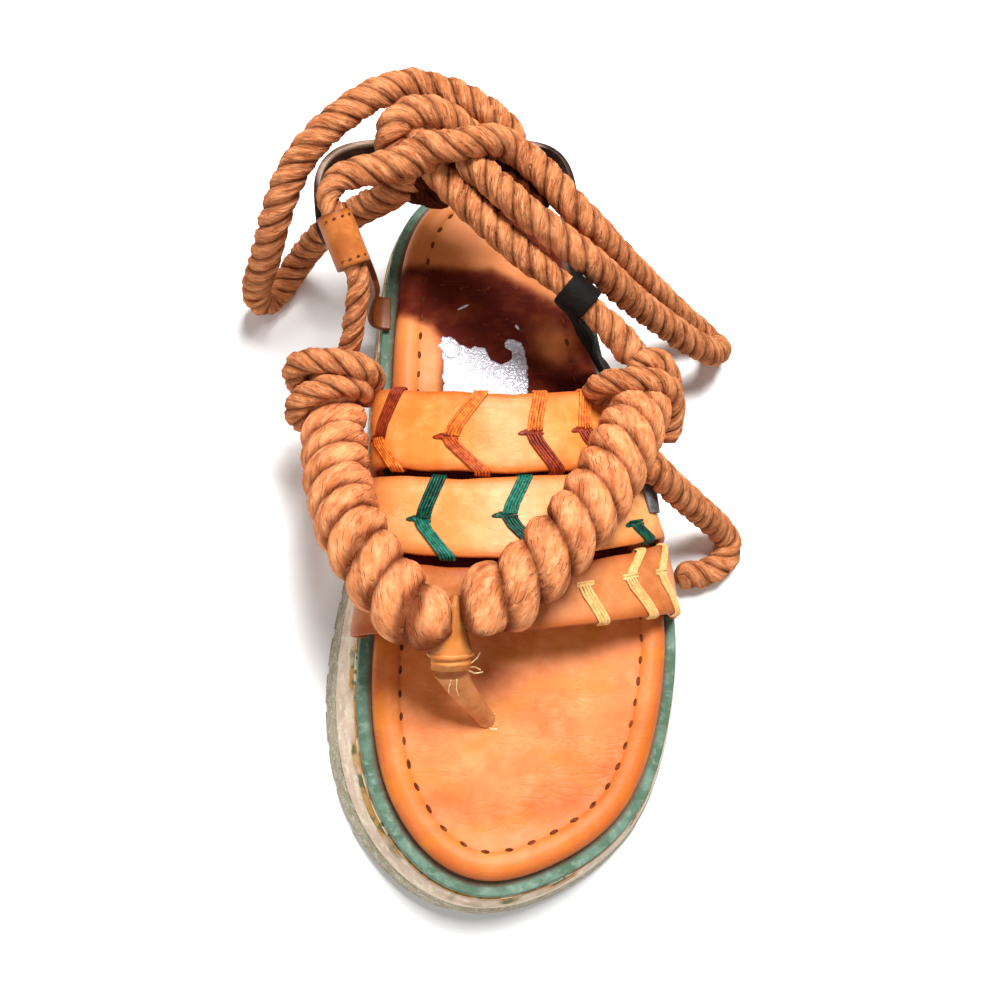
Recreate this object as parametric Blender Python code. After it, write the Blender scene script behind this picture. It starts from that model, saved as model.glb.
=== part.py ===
# A platform sandal for the left foot. Millimetres in the tables, metres in the model.
# Toe towards -Y, heel towards +Y, big toe side towards -X, ground at Z = 0.
import bpy
import bmesh
from math import sin, cos, pi, radians, sqrt, exp
from mathutils import Vector

MM = 0.001
CENTRE_X = -6.39        # where the box of the stiff pieces is centred, in the last's frame
CENTRE_Y = -4.95
STATIONS = 30           # stations round each half of the outline
GAP = 0.35

PLATFORM_HIGH = 24.6    # top of the teal layer above the ground
TOE_SPRING = 7.0
TOE_RISE = 3.0          # how much the platform's top rises at the toe
TOE_BREAK_Y = -80.0
ARCH_HIGH = 2.0
ARCH_FRONT_Y = -12.0
ARCH_BACK_Y = 40.0
HEEL_BREAK_Y = 104.0
HEEL_LIFT = 1.5
FOOTBED_HIGH = 3.6
ARCH_PAD = 1.8
HEEL_CUP = 1.0

# the footbed's edge from above, and how far the tread's foot stands out from it
OUTLINE = [
    # place                  x      y      flare
    ("heel centre",         -9.0,  114.0,  7.5),
    ("heel medial corner", -27.5,  106.0,  6.5),
    ("heel medial",        -37.5,   88.0,  6.5),
    ("heel front medial",  -40.5,   62.0,  6.5),
    ("waist medial",       -41.5,   34.0,  7.0),
    ("instep medial",      -41.0,    4.0,  9.0),
    ("behind ball medial", -42.5,  -25.0, 12.0),
    ("ball medial",        -45.2,  -55.0, 13.8),
    ("big toe joint",      -44.3,  -78.0, 13.8),
    ("big toe side",       -39.0,  -98.0, 12.8),
    ("big toe front",      -26.5, -114.8, 11.0),
    ("toe tip",             -9.4, -121.6,  9.8),
    ("second toe",          12.0, -115.8,  9.8),
    ("fourth toe",          30.4, -103.0, 10.0),
    ("little toe",          41.5,  -82.0, 10.5),
    ("ball lateral",        47.5,  -50.0, 11.0),
    ("behind ball lateral", 45.0,  -22.0, 12.5),
    ("waist front lateral", 37.5,    6.0, 13.0),
    ("waist lateral",       29.0,   38.0, 10.5),
    ("heel front lateral",  24.5,   64.0,  9.0),
    ("heel lateral",        20.5,   88.0,  8.0),
    ("heel lateral corner", 10.0,  106.0,  7.0),
]
TOE_ROW = 11

# each layer between two shares of the platform's height; its edge stands out from
# the footbed by "out" plus "foot" times the flare
LAYERS = [
    # name             low     high    out_low foot_low out_high foot_high round
    ("outsole",        0.0,    0.33,   0.0,    1.0,     1.35,    0.70,     0.6),
    ("midsole_cream",  0.3425, 0.74,   1.53,   0.66,    5.7,     0.0,      0.5),
    ("midsole_gold",   0.7525, 0.80,   5.3,    0.0,     5.0,     0.0,      0.0),
    ("midsole_teal",   0.8125, 1.0,    4.5,    0.0,     4.2,     0.0,      0.4),
]

# the footbed's padded rim, inwards from its edge
RIM_PROFILE = [
    # inwards  height
    (0.6,      0.0),
    (0.0,      1.8),
    (0.8,      3.9),
    (2.5,      5.2),
    (5.0,      5.6),
    (7.5,      5.0),
    (9.0,      4.2),
    (12.0,     4.0),
]

GROOVE_WIDE = 3.0
GROOVE_DEEP = 2.0
GROOVE_PLACES = [-104, -92, -80, -68, -56, -44, -32, -20, 48, 60, 72, 84, 96]

# the straps: where each edge meets the platform's sides and crosses the crown
STRAP_THICK = 2.4
STRAP_OUT = 2.8         # the straps stand on the teal ledge
STRAP_FOOT_Z = 25.7
STRAP_DIP = 14.0        # how far the arch closes in again below its widest
STRAP_LEAN = 2.6        # lean towards the big toe side
STRAPS = [
    # name           edge     medial_y crown_y lateral_y crown_z
    ("strap_top",    "front",   1.4,    -4.5,    6.0,     55.0),
    ("strap_top",    "back",   27.0,    20.5,   29.5,     56.0),
    ("strap_middle", "front", -25.5,   -30.5,  -18.5,     54.0),
    ("strap_middle", "back",   -1.5,    -6.0,    4.5,     54.0),
    ("strap_front",  "front", -50.7,   -51.0,  -42.0,     49.5),
    ("strap_front",  "back",  -27.5,   -33.0,  -20.5,     50.5),
]

# the two arms of coiled rope that run over the straps
ARM_THICK = 21.0
ARM_LUMP = 0.7
ARM_TURN = 8.4
ARM_MEDIAL = [
    # x      y      z     size
    (-60.9,  33.3,  36.0,  0.90),
    (-59.7,  23.6,  34.5,  0.95),
    (-59.2,  12.6,  36.0,  1.00),
    (-57.9,  -1.2,  41.0,  1.00),
    (-55.3, -14.8,  46.8,  1.00),
    (-50.3, -27.6,  53.0,  1.00),
    (-43.1, -38.6,  55.6,  1.00),
    (-36.2, -47.6,  58.0,  0.90),
    (-31.2, -53.4,  58.0,  0.80),
]
ARM_LATERAL = [
    # x      y      z     size
    (38.4,   26.6,  52.0,  0.90),
    (33.4,   14.6,  57.2,  0.95),
    (27.1,    2.1,  61.5,  1.00),
    (20.6,  -10.0,  63.6,  1.00),
    (14.3,  -19.6,  65.0,  1.00),
    (7.9,   -27.1,  65.9,  1.00),
    (1.2,   -35.1,  65.2,  1.00),
    (-6.1,  -42.2,  62.8,  0.90),
    (-12.2, -49.4,  60.2,  0.84),
]

TOE_POST = [
    # x      y      z      wide  deep
    (-10.4, -74.6,  28.9,   6.0,  5.6),
    (-13.6, -72.4,  36.0,   7.0,  5.2),
    (-19.4, -68.2,  45.0,   8.8,  5.4),
    (-23.4, -64.2,  52.2,  10.6,  5.6),
]

RING_FRONT = (-23.8, -65.4, 54.9)
RING_BACK = (-24.2, -60.4, 58.0)
RING_ROWS = [
    # run   half_wide half_deep
    (0.0,   6.6,      2.6),
    (0.14,  7.4,      3.2),
    (0.36,  7.4,      3.2),
    (0.5,   6.9,      2.8),
    (0.64,  7.8,      3.4),
    (0.88,  7.8,      3.4),
    (1.0,   7.0,      2.8),
]
WEDGE_FRONT = (-24.3, -60.0, 59.8)
WEDGE_BACK = (-23.0, -44.5, 63.8)
WEDGE_ROWS = [
    # run   half_wide half_deep
    (0.0,   5.9,      1.5),
    (0.35,  4.9,      1.4),
    (0.7,   3.0,      1.2),
    (1.0,   1.8,      0.9),
]

# upright straps: centre line from the platform's ledge up to the rolled tube
QUARTER_THICK = 2.0
TUBE_RADIUS_MEDIAL = 4.5
TUBE_RADIUS_LATERAL = 5.1
TUBE_SWEEP = 300.0
QUARTER_MEDIAL = [
    # x      y      z     wide
    (-42.4,  60.8,  26.5,  11.8),
    (-45.8,  60.9,  26.7,  11.8),
    (-48.8,  61.1,  28.8,  11.8),
    (-50.4,  61.4,  33.6,  11.8),
    (-50.6,  61.9,  44.0,  13.6),
    (-50.2,  62.2,  55.0,  15.6),
]
TUBE_MEDIAL_CENTRE = (-58.1, 62.0, 70.0)
TUBE_MEDIAL_AXIS = (-0.41, 0.82, 0.41)
TUBE_MEDIAL_WIDE = 16.6
QUARTER_LATERAL = [
    # x      y      z     wide
    (31.8,   38.4,  25.3,  9.0),
    (31.4,   38.6,  31.4,  9.0),
    (27.0,   39.6,  38.8,  9.0),
    (20.6,   42.0,  48.0,  9.2),
    (16.8,   44.6,  57.0,  9.6),
]
TUBE_LATERAL_CENTRE = (13.2, 48.7, 68.0)
TUBE_LATERAL_AXIS = (-0.79, 0.59, 0.17)
TUBE_LATERAL_WIDE = 10.0

BAND_THICK = 2.2
BAND_HIGH = 9.0
HEEL_BAND = [
    # x      y      z      lean_x lean_y
    (-64.0,  65.5, 62.7, -0.30, 0.10),
    (-65.1,  76.3, 63.5, -0.40, 0.15),
    (-65.9,  83.4, 64.4, -0.30, 0.20),
    (-63.7,  90.3, 64.8, -0.20, 0.30),
    (-59.4,  94.5, 64.7, -0.10, 0.30),
    (-52.0,  96.7, 64.8,  0.00, 0.35),
    (-42.1,  98.1, 64.8,  0.00, 0.35),
    (-31.1,  99.5, 64.8,  0.00, 0.35),
    (-20.0, 100.5, 64.8,  0.00, 0.35),
    (-8.8,  101.0, 64.8,  0.00, 0.35),
    (2.3,   101.4, 64.2,  0.05, 0.30),
    (7.7,   100.4, 63.2,  0.10, 0.30),
    (11.0,   96.7, 62.2,  0.20, 0.20),
    (12.5,   89.7, 61.7,  0.25, 0.10),
    (12.7,   80.7, 61.7,  0.30, 0.00),
    (12.9,   70.2, 61.2,  0.30, 0.00),
    (14.0,   58.4, 60.3,  0.30, 0.00),
]

ROPE_THICK = 8.6
ROPE_SIDES = 2
TIE_ROPE_MEDIAL = [
    # x      y      z     size
    (-58.6,  33.6,  42.4,  0.80),
    (-55.4,  37.2,  49.0,  0.72),
    (-54.4,  41.5,  55.2,  0.70),
    (-53.6,  46.4,  60.8,  0.70),
    (-53.2,  51.4,  64.6,  0.70),
    (-54.8,  55.3,  66.7,  0.70),
    (-58.1,  62.0,  70.0,  0.70),
    (-61.5,  68.8,  73.4,  0.70),
    (-63.0,  72.2,  75.2,  0.70),
    (-62.0,  75.8,  77.2,  0.80),
    (-58.4,  78.6,  78.3,  0.90),
    (-53.0,  80.6,  78.5,  0.97),
    (-46.5,  82.7,  78.5,  1.00),
    (-38.9,  85.4,  78.5,  1.00),
]
TIE_ROPE_LATERAL = [
    # x      y      z     size
    (-24.3, 79.9, 72.0, 1.00),
    (-18.1, 73.9, 71.5, 1.00),
    (-10.6, 67.1, 71.0, 1.00),
    (-3.2,  60.6, 70.5, 0.96),
    (4.3,   55.2, 69.5, 0.82),
    (8.7,   52.0, 68.9, 0.78),
    (13.2,  48.7, 68.0, 0.78),
    (17.4,  45.5, 67.0, 0.78),
    (21.6,  42.2, 65.8, 0.90),
    (27.2,  37.3, 64.0, 1.00),
    (33.1,  31.2, 62.0, 1.00),
]
BOW_LOOP_MEDIAL = [
    # x      y      z
    (-12.6, 102.8, 78.4),
    (-18.0, 106.0, 79.0),
    (-24.2, 109.5, 79.0),
    (-32.0, 112.1, 78.5),
    (-41.2, 113.1, 78.0),
    (-51.2, 108.8, 77.0),
    (-60.1, 101.8, 75.5),
    (-67.1,  95.4, 73.0),
    (-73.0,  88.8, 69.0),
    (-77.8,  80.9, 62.0),
    (-81.1,  74.8, 52.0),
    (-83.9,  71.6, 40.0),
    (-87.2,  71.1, 26.0),
    (-88.6,  72.0, 13.0),
    (-86.1,  73.3,  6.5),
    (-81.2,  79.0,  5.5),
    (-76.8,  85.4,  9.0),
    (-71.8,  89.1, 17.0),
    (-66.0,  89.2, 28.0),
    (-59.4,  87.7, 40.0),
    (-52.9,  86.4, 50.0),
    (-46.0,  85.2, 58.6),
    (-39.5,  86.3, 65.2),
    (-35.0,  88.2, 68.2),
]
BOW_LOOP_LATERAL = [
    # x      y      z
    (-5.5,  90.6, 78.4),
    (-1.0,  87.2, 78.5),
    (3.0,   82.9, 78.5),
    (7.0,   78.4, 78.0),
    (10.6,  74.7, 77.0),
    (14.8,  71.9, 75.0),
    (19.6,  69.9, 71.0),
    (25.9,  68.9, 63.6),
    (33.6,  68.8, 54.0),
    (42.3,  69.4, 43.0),
    (60.2,  70.2, 21.0),
    (70.9,  70.4,  9.5),
    (76.0,  69.2,  5.2),
    (78.6,  65.8,  6.2),
    (77.3,  61.4, 11.5),
    (73.4,  57.7, 17.0),
    (67.9,  56.9, 22.0),
    (55.8,  56.8, 32.5),
    (39.4,  57.9, 47.5),
    (28.9,  58.0, 59.0),
    (21.4,  58.4, 67.3),
    (15.5,  59.8, 72.3),
    (9.6,   62.4, 75.0),
    (3.8,   65.4, 77.0),
    (-2.2,  69.2, 78.6),
    (-8.3,  74.3, 79.0),
    (-13.5, 79.4, 79.0),
]
ROPE_TAIL = [
    # x      y      z
    (36.4,    2.2,  52.7),
    (44.5,   -1.0,  45.0),
    (51.6,   -2.6,  36.5),
    (60.9,   -3.7,  25.0),
    (71.0,   -5.3,  13.0),
    (77.3,   -9.3,   6.5),
    (76.7,  -15.5,   5.0),
    (70.8,  -20.3,   5.0),
    (64.7,  -21.9,   5.6),
    (58.5,  -22.5,   7.0),
]
KNOT_CENTRE = (-25.5, 91.9, 78.0)
KNOT_SIZE = (15.0, 9.5, 8.5)

MATERIALS = {
    # piece: red, green, blue, roughness
    "outsole": (0.60, 0.54, 0.40, 0.9),
    "midsole_cream": (0.90, 0.78, 0.60, 0.6),
    "midsole_gold": (0.75, 0.50, 0.20, 0.5),
    "midsole_teal": (0.20, 0.33, 0.22, 0.6),
    "footbed": (0.72, 0.34, 0.12, 0.5),
    "strap_top": (0.80, 0.36, 0.12, 0.5),
    "strap_middle": (0.85, 0.50, 0.24, 0.5),
    "strap_front": (0.62, 0.30, 0.12, 0.5),
    "toe_post": (0.42, 0.18, 0.07, 0.5),
    "toe_post_ring": (0.50, 0.22, 0.08, 0.5),
    "toe_wedge": (0.48, 0.20, 0.07, 0.5),
    "rope_arm_medial": (0.72, 0.36, 0.15, 0.8),
    "rope_arm_lateral": (0.72, 0.36, 0.15, 0.8),
    "quarter_strap_medial": (0.70, 0.32, 0.10, 0.5),
    "quarter_strap_lateral": (0.45, 0.18, 0.06, 0.5),
    "heel_band": (0.12, 0.06, 0.04, 0.6),
    "rope": (0.72, 0.36, 0.15, 0.8),
}


def clear_scene():
    for thing in list(bpy.data.objects):
        bpy.data.objects.remove(thing, do_unlink=True)


def paint(thing, name):
    """Give an object its own plain material."""
    red, green, blue, rough = MATERIALS.get(name, MATERIALS["rope"])
    material = bpy.data.materials.new(name + "_paint")
    material.use_nodes = True
    shader = material.node_tree.nodes["Principled BSDF"]
    shader.inputs["Base Color"].default_value = (red, green, blue, 1.0)
    shader.inputs["Roughness"].default_value = rough
    material.diffuse_color = (red, green, blue, 1.0)
    thing.data.materials.append(material)


def place(point):
    """A point of the last's frame, in metres about the object's origin."""
    return Vector((point[0] - CENTRE_X, point[1] - CENTRE_Y, point[2])) * MM


def solid(name, points, faces, smooth=True):
    """A closed mesh object from points in millimetres."""
    mesh = bpy.data.meshes.new(name)
    mesh.from_pydata([place(p) for p in points], [], faces)
    tidy = bmesh.new()
    tidy.from_mesh(mesh)
    bmesh.ops.recalc_face_normals(tidy, faces=tidy.faces)
    tidy.to_mesh(mesh)
    tidy.free()
    thing = bpy.data.objects.new(name, mesh)
    bpy.context.scene.collection.objects.link(thing)
    for polygon in mesh.polygons:
        polygon.use_smooth = smooth
    paint(thing, name)
    return thing


def modify(thing, kind, **settings):
    modifier = thing.modifiers.new(kind.title(), kind)
    for key, value in settings.items():
        setattr(modifier, key, value)
    return modifier


def through(rows, share, closed=False):
    """The smooth curve through rows of numbers, at share counted in rows."""
    count = len(rows)
    row = int(share)
    if not closed:
        row = min(row, count - 2)
    part = share - row

    def at(index):
        if closed:
            return rows[index % count]
        if index < 0:
            return [2 * a - b for a, b in zip(rows[0], rows[1])]
        if index >= count:
            return [2 * a - b for a, b in zip(rows[-1], rows[-2])]
        return rows[index]

    before, start, end, after = at(row - 1), at(row), at(row + 1), at(row + 2)
    answer = []
    for a, b, c, d in zip(before, start, end, after):
        bend = 2 * a - 5 * b + 4 * c - d
        twist = -a + 3 * b - 3 * c + d
        answer.append(0.5 * (2 * b + (c - a) * part + bend * part ** 2 + twist * part ** 3))
    return answer


def evenly(dense, count):
    """Count + 1 rows spaced evenly along a dense run of rows."""
    run = [0.0]
    for a, b in zip(dense, dense[1:]):
        run.append(run[-1] + sqrt(sum((p - q) ** 2 for p, q in zip(a[:3], b[:3]))))
    rows = []
    spot = 0
    for index in range(count + 1):
        goal = run[-1] * index / count
        while spot < len(run) - 2 and run[spot + 1] < goal:
            spot += 1
        part = (goal - run[spot]) / (run[spot + 1] - run[spot])
        rows.append([p + (q - p) * part for p, q in zip(dense[spot], dense[spot + 1])])
    return rows


def smooth_route(route, step):
    """Points about a step apart along the smooth curve through a route."""
    dense = [through(route, i / 16) for i in range(16 * (len(route) - 1) + 1)]
    length = sum((Vector(a[:3]) - Vector(b[:3])).length for a, b in zip(dense, dense[1:]))
    return evenly(dense, max(4, round(length / step)))


def outline_halves():
    """Both halves of the outline from heel to toe: x, y, flare and outward normal."""
    rows = [(x, y, flare) for place_name, x, y, flare in OUTLINE]
    count = len(rows)
    medial = [through(rows, i / 20, True) for i in range(20 * TOE_ROW + 1)]
    lateral = [through(rows, i / 20, True) for i in range(20 * TOE_ROW, 20 * count + 1)]
    lateral.reverse()
    halves = []
    for half, turn in ((medial, 1.0), (lateral, -1.0)):
        flat = evenly([(x, y, 0.0, flare) for x, y, flare in half], STATIONS)
        found = []
        for index, (x, y, level, flare) in enumerate(flat):
            before = flat[max(0, index - 1)]
            after = flat[min(STATIONS, index + 1)]
            along = Vector((after[0] - before[0], after[1] - before[1])).normalized()
            found.append((x, y, flare, along.y * turn, -along.x * turn))
        halves.append(found)
    for index in (0, STATIONS):
        x, y, flare, across, ahead = halves[0][index]
        forward = 1.0 if index == 0 else -1.0
        for half in halves:
            half[index] = (x, y, flare, 0.0, forward)
    return halves


def toe_ramp(y):
    return (max(0.0, TOE_BREAK_Y - y) / 51.0) ** 2


def ground(y):
    """Height of the tread's underside: toe spring, arch and a slight lift at the heel."""
    height = TOE_SPRING * toe_ramp(y)
    height += HEEL_LIFT * (max(0.0, y - HEEL_BREAK_Y) / 18.0) ** 2
    if ARCH_FRONT_Y < y < ARCH_BACK_Y:
        height += ARCH_HIGH * sin(pi * (y - ARCH_FRONT_Y) / (ARCH_BACK_Y - ARCH_FRONT_Y)) ** 2
    return height


def stack(share, y):
    """Height at a share of the platform, from the ground up to its top."""
    low = ground(y)
    return low + share * (PLATFORM_HIGH + TOE_RISE * toe_ramp(y) - low)


class Shell:
    """Rings round the outline joined into one closed skin."""

    def __init__(self, halves):
        self.halves = halves
        self.points = []
        self.faces = []
        self.rings = []

    def ring(self, spot):
        """A ring from a rule that gives a point for each row of the outline."""
        medial, lateral = self.halves
        rows = list(medial) + list(reversed(lateral[1:-1]))
        first = len(self.points)
        self.points += [spot(*row) for row in rows]
        self.rings.append(list(range(first, len(self.points))))

    def bands(self):
        for low, high in zip(self.rings, self.rings[1:]):
            count = len(low)
            for i in range(count):
                j = (i + 1) % count
                self.faces.append((low[i], low[j], high[j], high[i]))

    def cap(self, ring, columns=0, lift=None):
        """Close a ring with strips straight across, with columns of points inside."""
        last = STATIONS
        lines = []
        for i in range(1, last):
            left = ring[i]
            right = ring[-i]
            line = [left]
            for column in range(1, columns + 1):
                share = column / (columns + 1)
                a, b = Vector(self.points[left]), Vector(self.points[right])
                spot = a.lerp(b, share)
                if lift:
                    spot.z = lift(spot.x, spot.y, spot.z, share)
                self.points.append(tuple(spot))
                line.append(len(self.points) - 1)
            lines.append(line + [right])
        for a, b in zip(lines, lines[1:]):
            for i in range(len(a) - 1):
                self.faces.append((a[i], a[i + 1], b[i + 1], b[i]))
        for tip, line in ((ring[0], lines[0]), (ring[last], lines[-1])):
            for i in range(len(line) - 1):
                self.faces.append((tip, line[i], line[i + 1]))


def layer(halves, row):
    """One layer of the platform."""
    name, low, high, out_low, foot_low, out_high, foot_high, rounding = row
    shell = Shell(halves)
    if rounding:
        steps = [(0.0, -rounding, 0.0), (0.0, 0.0, rounding), (1.0, 0.0, -rounding), (1.0, -rounding, 0.0)]
    else:
        steps = [(0.0, 0.0, 0.0), (1.0, 0.0, 0.0)]
    for up, inset, shift in steps:
        def spot(x, y, flare, across, ahead):
            bottom = out_low + foot_low * flare
            top = out_high + foot_high * flare
            out = bottom + (top - bottom) * up + inset
            px = x + across * out
            py = y + ahead * out
            return (px, py, stack(low + (high - low) * up, py) + shift)
        shell.ring(spot)
    shell.bands()
    shell.cap(shell.rings[0])
    shell.cap(shell.rings[-1])
    return solid(name, shell.points, shell.faces)


def cut_grooves(outsole):
    """Transverse grooves across the tread."""
    points = []
    faces = []
    for y in GROOVE_PLACES:
        top = ground(y) + GROOVE_DEEP
        first = len(points)
        for z in (top - 12.0, top):
            for x, side in ((-90.0, -1), (90.0, -1), (90.0, 1), (-90.0, 1)):
                points.append((x, y + side * GROOVE_WIDE / 2, z))
        for face in ((0, 3, 2, 1), (4, 5, 6, 7), (0, 1, 5, 4), (1, 2, 6, 5), (2, 3, 7, 6), (3, 0, 4, 7)):
            faces.append(tuple(first + i for i in face))
    cutter = solid("groove_cutter", points, faces, smooth=False)
    cutter.hide_render = True
    cutter.display_type = "WIRE"
    modify(outsole, "BOOLEAN", operation="DIFFERENCE", solver="EXACT", object=cutter)


def footbed_height(x, y, level, share):
    """The leather inside the rim: a pad under the arch and a hollow for the heel."""
    pad = ARCH_PAD * exp(-((y - 28.0) / 26.0) ** 2) * max(0.0, 1.0 - share * 2.0)
    cup = HEEL_CUP * exp(-((y - 82.0) / 22.0) ** 2) * sin(pi * share)
    return stack(1.0, y) + GAP + FOOTBED_HIGH + pad - cup


def footbed(halves):
    shell = Shell(halves)
    for inwards, height in RIM_PROFILE:
        def spot(x, y, flare, across, ahead):
            px = x - across * inwards
            py = y - ahead * inwards
            return (px, py, stack(1.0, py) + GAP + height)
        shell.ring(spot)
    shell.bands()
    shell.cap(shell.rings[0])
    shell.cap(shell.rings[-1], 3, footbed_height)
    return solid("footbed", shell.points, shell.faces)


def rim_point(half, y, out):
    """The point of one half of the outline at a given y, moved outwards."""
    for a, b in zip(half, half[1:]):
        if a[1] >= y >= b[1]:
            part = (a[1] - y) / (a[1] - b[1])
            x, spot_y, flare, across, ahead = (p + (q - p) * part for p, q in zip(a, b))
            return Vector((x + across * out, spot_y + ahead * out, 0.0))
    return Vector((half[-1][0], y, 0.0))


def sheet(name, grid, thick):
    """A leather sheet of real thickness from a grid of points."""
    wide = len(grid[0])
    points = [p for line in grid for p in line]
    faces = []
    for i in range(len(grid) - 1):
        for j in range(wide - 1):
            a = i * wide + j
            faces.append((a, a + 1, a + wide + 1, a + wide))
    thing = solid(name, points, faces)
    modify(thing, "SOLIDIFY", thickness=thick * MM, offset=0.0, use_even_offset=True, use_rim=True)
    return thing


def strap(halves, name, steps=22, columns=5):
    """A strap that springs from both sides of the platform and arches over the foot."""
    medial, lateral = halves
    front, back = [row[2:] for row in STRAPS if row[0] == name]
    dip = radians(STRAP_DIP)
    grid = []
    for step in range(steps + 1):
        angle = -dip + (pi + 2 * dip) * step / steps
        line = []
        for column in range(columns):
            share = column / (columns - 1)
            medial_y, crown_y, lateral_y, crown_z = [a + (b - a) * share for a, b in zip(front, back)]
            left = rim_point(medial, medial_y, STRAP_OUT)
            right = rim_point(lateral, lateral_y, STRAP_OUT)
            swing = cos(angle) / cos(dip)
            spot = (left + right) / 2 + (right - left) / 2 * swing
            rise = sin(angle)
            bow = max(0.0, rise) ** 2
            spring_z = (STRAP_FOOT_Z + crown_z * sin(dip)) / (1 + sin(dip))
            spot.y += (crown_y - (left.y + right.y) / 2) * bow
            spot.z = spring_z + (crown_z - spring_z) * rise
            spot.x -= STRAP_LEAN * (1 - exp((STRAP_FOOT_Z - spot.z) / 5.0))
            line.append(tuple(spot))
        grid.append(line)
    return sheet(name, grid, STRAP_THICK)


def tube_curve(name, rows, thick, sides, paint_name=None):
    """A tube along rows of x, y, z and thickness share, with filled ends."""
    curve = bpy.data.curves.new(name, "CURVE")
    curve.dimensions = "3D"
    curve.bevel_depth = thick / 2 * MM
    curve.bevel_resolution = sides
    curve.use_fill_caps = True
    spline = curve.splines.new("POLY")
    spline.points.add(len(rows) - 1)
    for point, row in zip(spline.points, rows):
        point.co = (*place(row), 1.0)
        point.radius = row[3] if len(row) > 3 else 1.0
    spline.use_smooth = True
    thing = bpy.data.objects.new(name, curve)
    bpy.context.scene.collection.objects.link(thing)
    paint(thing, paint_name or name)
    return thing


def rope_arm(name, route):
    """An arm of coiled rope: a rounded swelling for each turn, closing in at both ends."""
    rows = smooth_route(route, ARM_TURN / 4)
    run = 0.0
    total = sum((Vector(a[:3]) - Vector(b[:3])).length for a, b in zip(rows, rows[1:]))
    turns = round(total / ARM_TURN)
    shaped = []
    before = Vector(rows[0][:3])
    for row in rows:
        spot = Vector(row[:3])
        run += (spot - before).length
        before = spot
        wave = cos(2 * pi * turns * run / total)
        swell = 1.0 - ARM_LUMP / ARM_THICK * (1.0 + wave)
        near_end = min(run, total - run) / 5.0
        if near_end < 1.0:
            swell *= 0.62 + 0.38 * sqrt(max(0.0, 1.0 - (1.0 - near_end) ** 2))
        shaped.append((*row[:3], swell * row[3]))
    return tube_curve(name, shaped, ARM_THICK, 3)


def loft(name, rings):
    """A closed skin over rings of equal count, with flat ends."""
    count = len(rings[0])
    points = [p for ring in rings for p in ring]
    faces = [tuple(range(count)), tuple(len(points) - 1 - i for i in range(count))]
    for row in range(len(rings) - 1):
        for i in range(count):
            j = (i + 1) % count
            a = row * count
            faces.append((a + i, a + j, a + count + j, a + count + i))
    return solid(name, points, faces)


def toe_post():
    """The tapered leather post between the toes, its foot flat on the footbed."""
    rings = []
    for x, y, z, wide, deep in smooth_route(TOE_POST, 4.0):
        ring = []
        for side in range(12):
            turn = 2 * pi * side / 12
            ring.append((x + wide / 2 * cos(turn), y + deep / 2 * sin(turn), z))
        rings.append(ring)
    return loft("toe_post", rings)


def oval_loft(name, start, end, rows, sides=14):
    """A piece of oval section from start to end: rows of run, half width and half depth."""
    start, end = Vector(start), Vector(end)
    along = (end - start).normalized()
    across = Vector((1.0, 0.0, 0.0))
    across = (across - along * along.x).normalized()
    deep = along.cross(across)
    rings = []
    for run, half_wide, half_deep in rows:
        centre = start.lerp(end, run)
        ring = []
        for side in range(sides):
            turn = 2 * pi * side / sides
            spot = centre + across * half_wide * cos(turn) + deep * half_deep * sin(turn)
            ring.append(tuple(spot))
        rings.append(ring)
    return loft(name, rings)


def quarter_strap(name, route, centre, axis, tube_wide, face, radius):
    """An upright strap that curls outwards at its top into a tube for the rope."""
    axis = Vector(axis).normalized()
    centre = Vector(centre)
    across = (Vector((face, 0.0, 0.0)) - axis * axis.x * face).normalized()
    up = axis.cross(across)
    if up.z < 0.0:
        up = -up
    upright = Vector((0.0, 1.0, 0.0))
    curl = []
    for step in range(15):
        turn = radians(TUBE_SWEEP * step / 14)
        curl.append(centre + radius * (cos(turn) * across + sin(turn) * up))
    stem = [*route, (*curl[0], tube_wide)]
    rows = [through(stem, i / 3) for i in range(3 * (len(stem) - 1))]
    lines = []
    for index, (x, y, z, wide) in enumerate(rows):
        share = index / len(rows)
        share = share * share * (3 - 2 * share)
        lines.append((Vector((x, y, z)), upright.lerp(axis, share).normalized(), wide))
    lines += [(spot, axis, tube_wide) for spot in curl]
    grid = []
    for spot, way, wide in lines:
        grid.append([tuple(spot + way * wide / 2 * side) for side in (-1.0, 0.0, 1.0)])
    return sheet(name, grid, QUARTER_THICK)


def heel_band():
    """The narrow band that stands on edge round the heel."""
    grid = []
    for x, y, z, lean_x, lean_y in smooth_route(HEEL_BAND, 6.0):
        way = Vector((lean_x, lean_y, 0.93)).normalized() * BAND_HIGH / 2
        spot = Vector((x, y, z))
        grid.append([tuple(spot - way), tuple(spot), tuple(spot + way)])
    return sheet("heel_band", grid, BAND_THICK)


def rope(name, route, thick=ROPE_THICK):
    """A free rope through its route."""
    return tube_curve(name, smooth_route(route, thick * 0.62), thick, ROPE_SIDES, "rope")


def bow_knot():
    """The knot: a rounded lump wider than it is high, with three swellings."""
    mesh = bpy.data.meshes.new("bow_knot")
    ball = bmesh.new()
    bmesh.ops.create_uvsphere(ball, u_segments=20, v_segments=12, radius=1.0)
    for vertex in ball.verts:
        x, y, z = vertex.co
        lump = 1.0 + 0.06 * cos(3 * pi * x)
        wide, deep, high = KNOT_SIZE
        spot = (KNOT_CENTRE[0] + x * wide, KNOT_CENTRE[1] + y * deep * lump, KNOT_CENTRE[2] + z * high * lump)
        vertex.co = place(spot)
    ball.to_mesh(mesh)
    ball.free()
    thing = bpy.data.objects.new("bow_knot", mesh)
    bpy.context.scene.collection.objects.link(thing)
    for polygon in mesh.polygons:
        polygon.use_smooth = True
    paint(thing, "rope")


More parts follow.
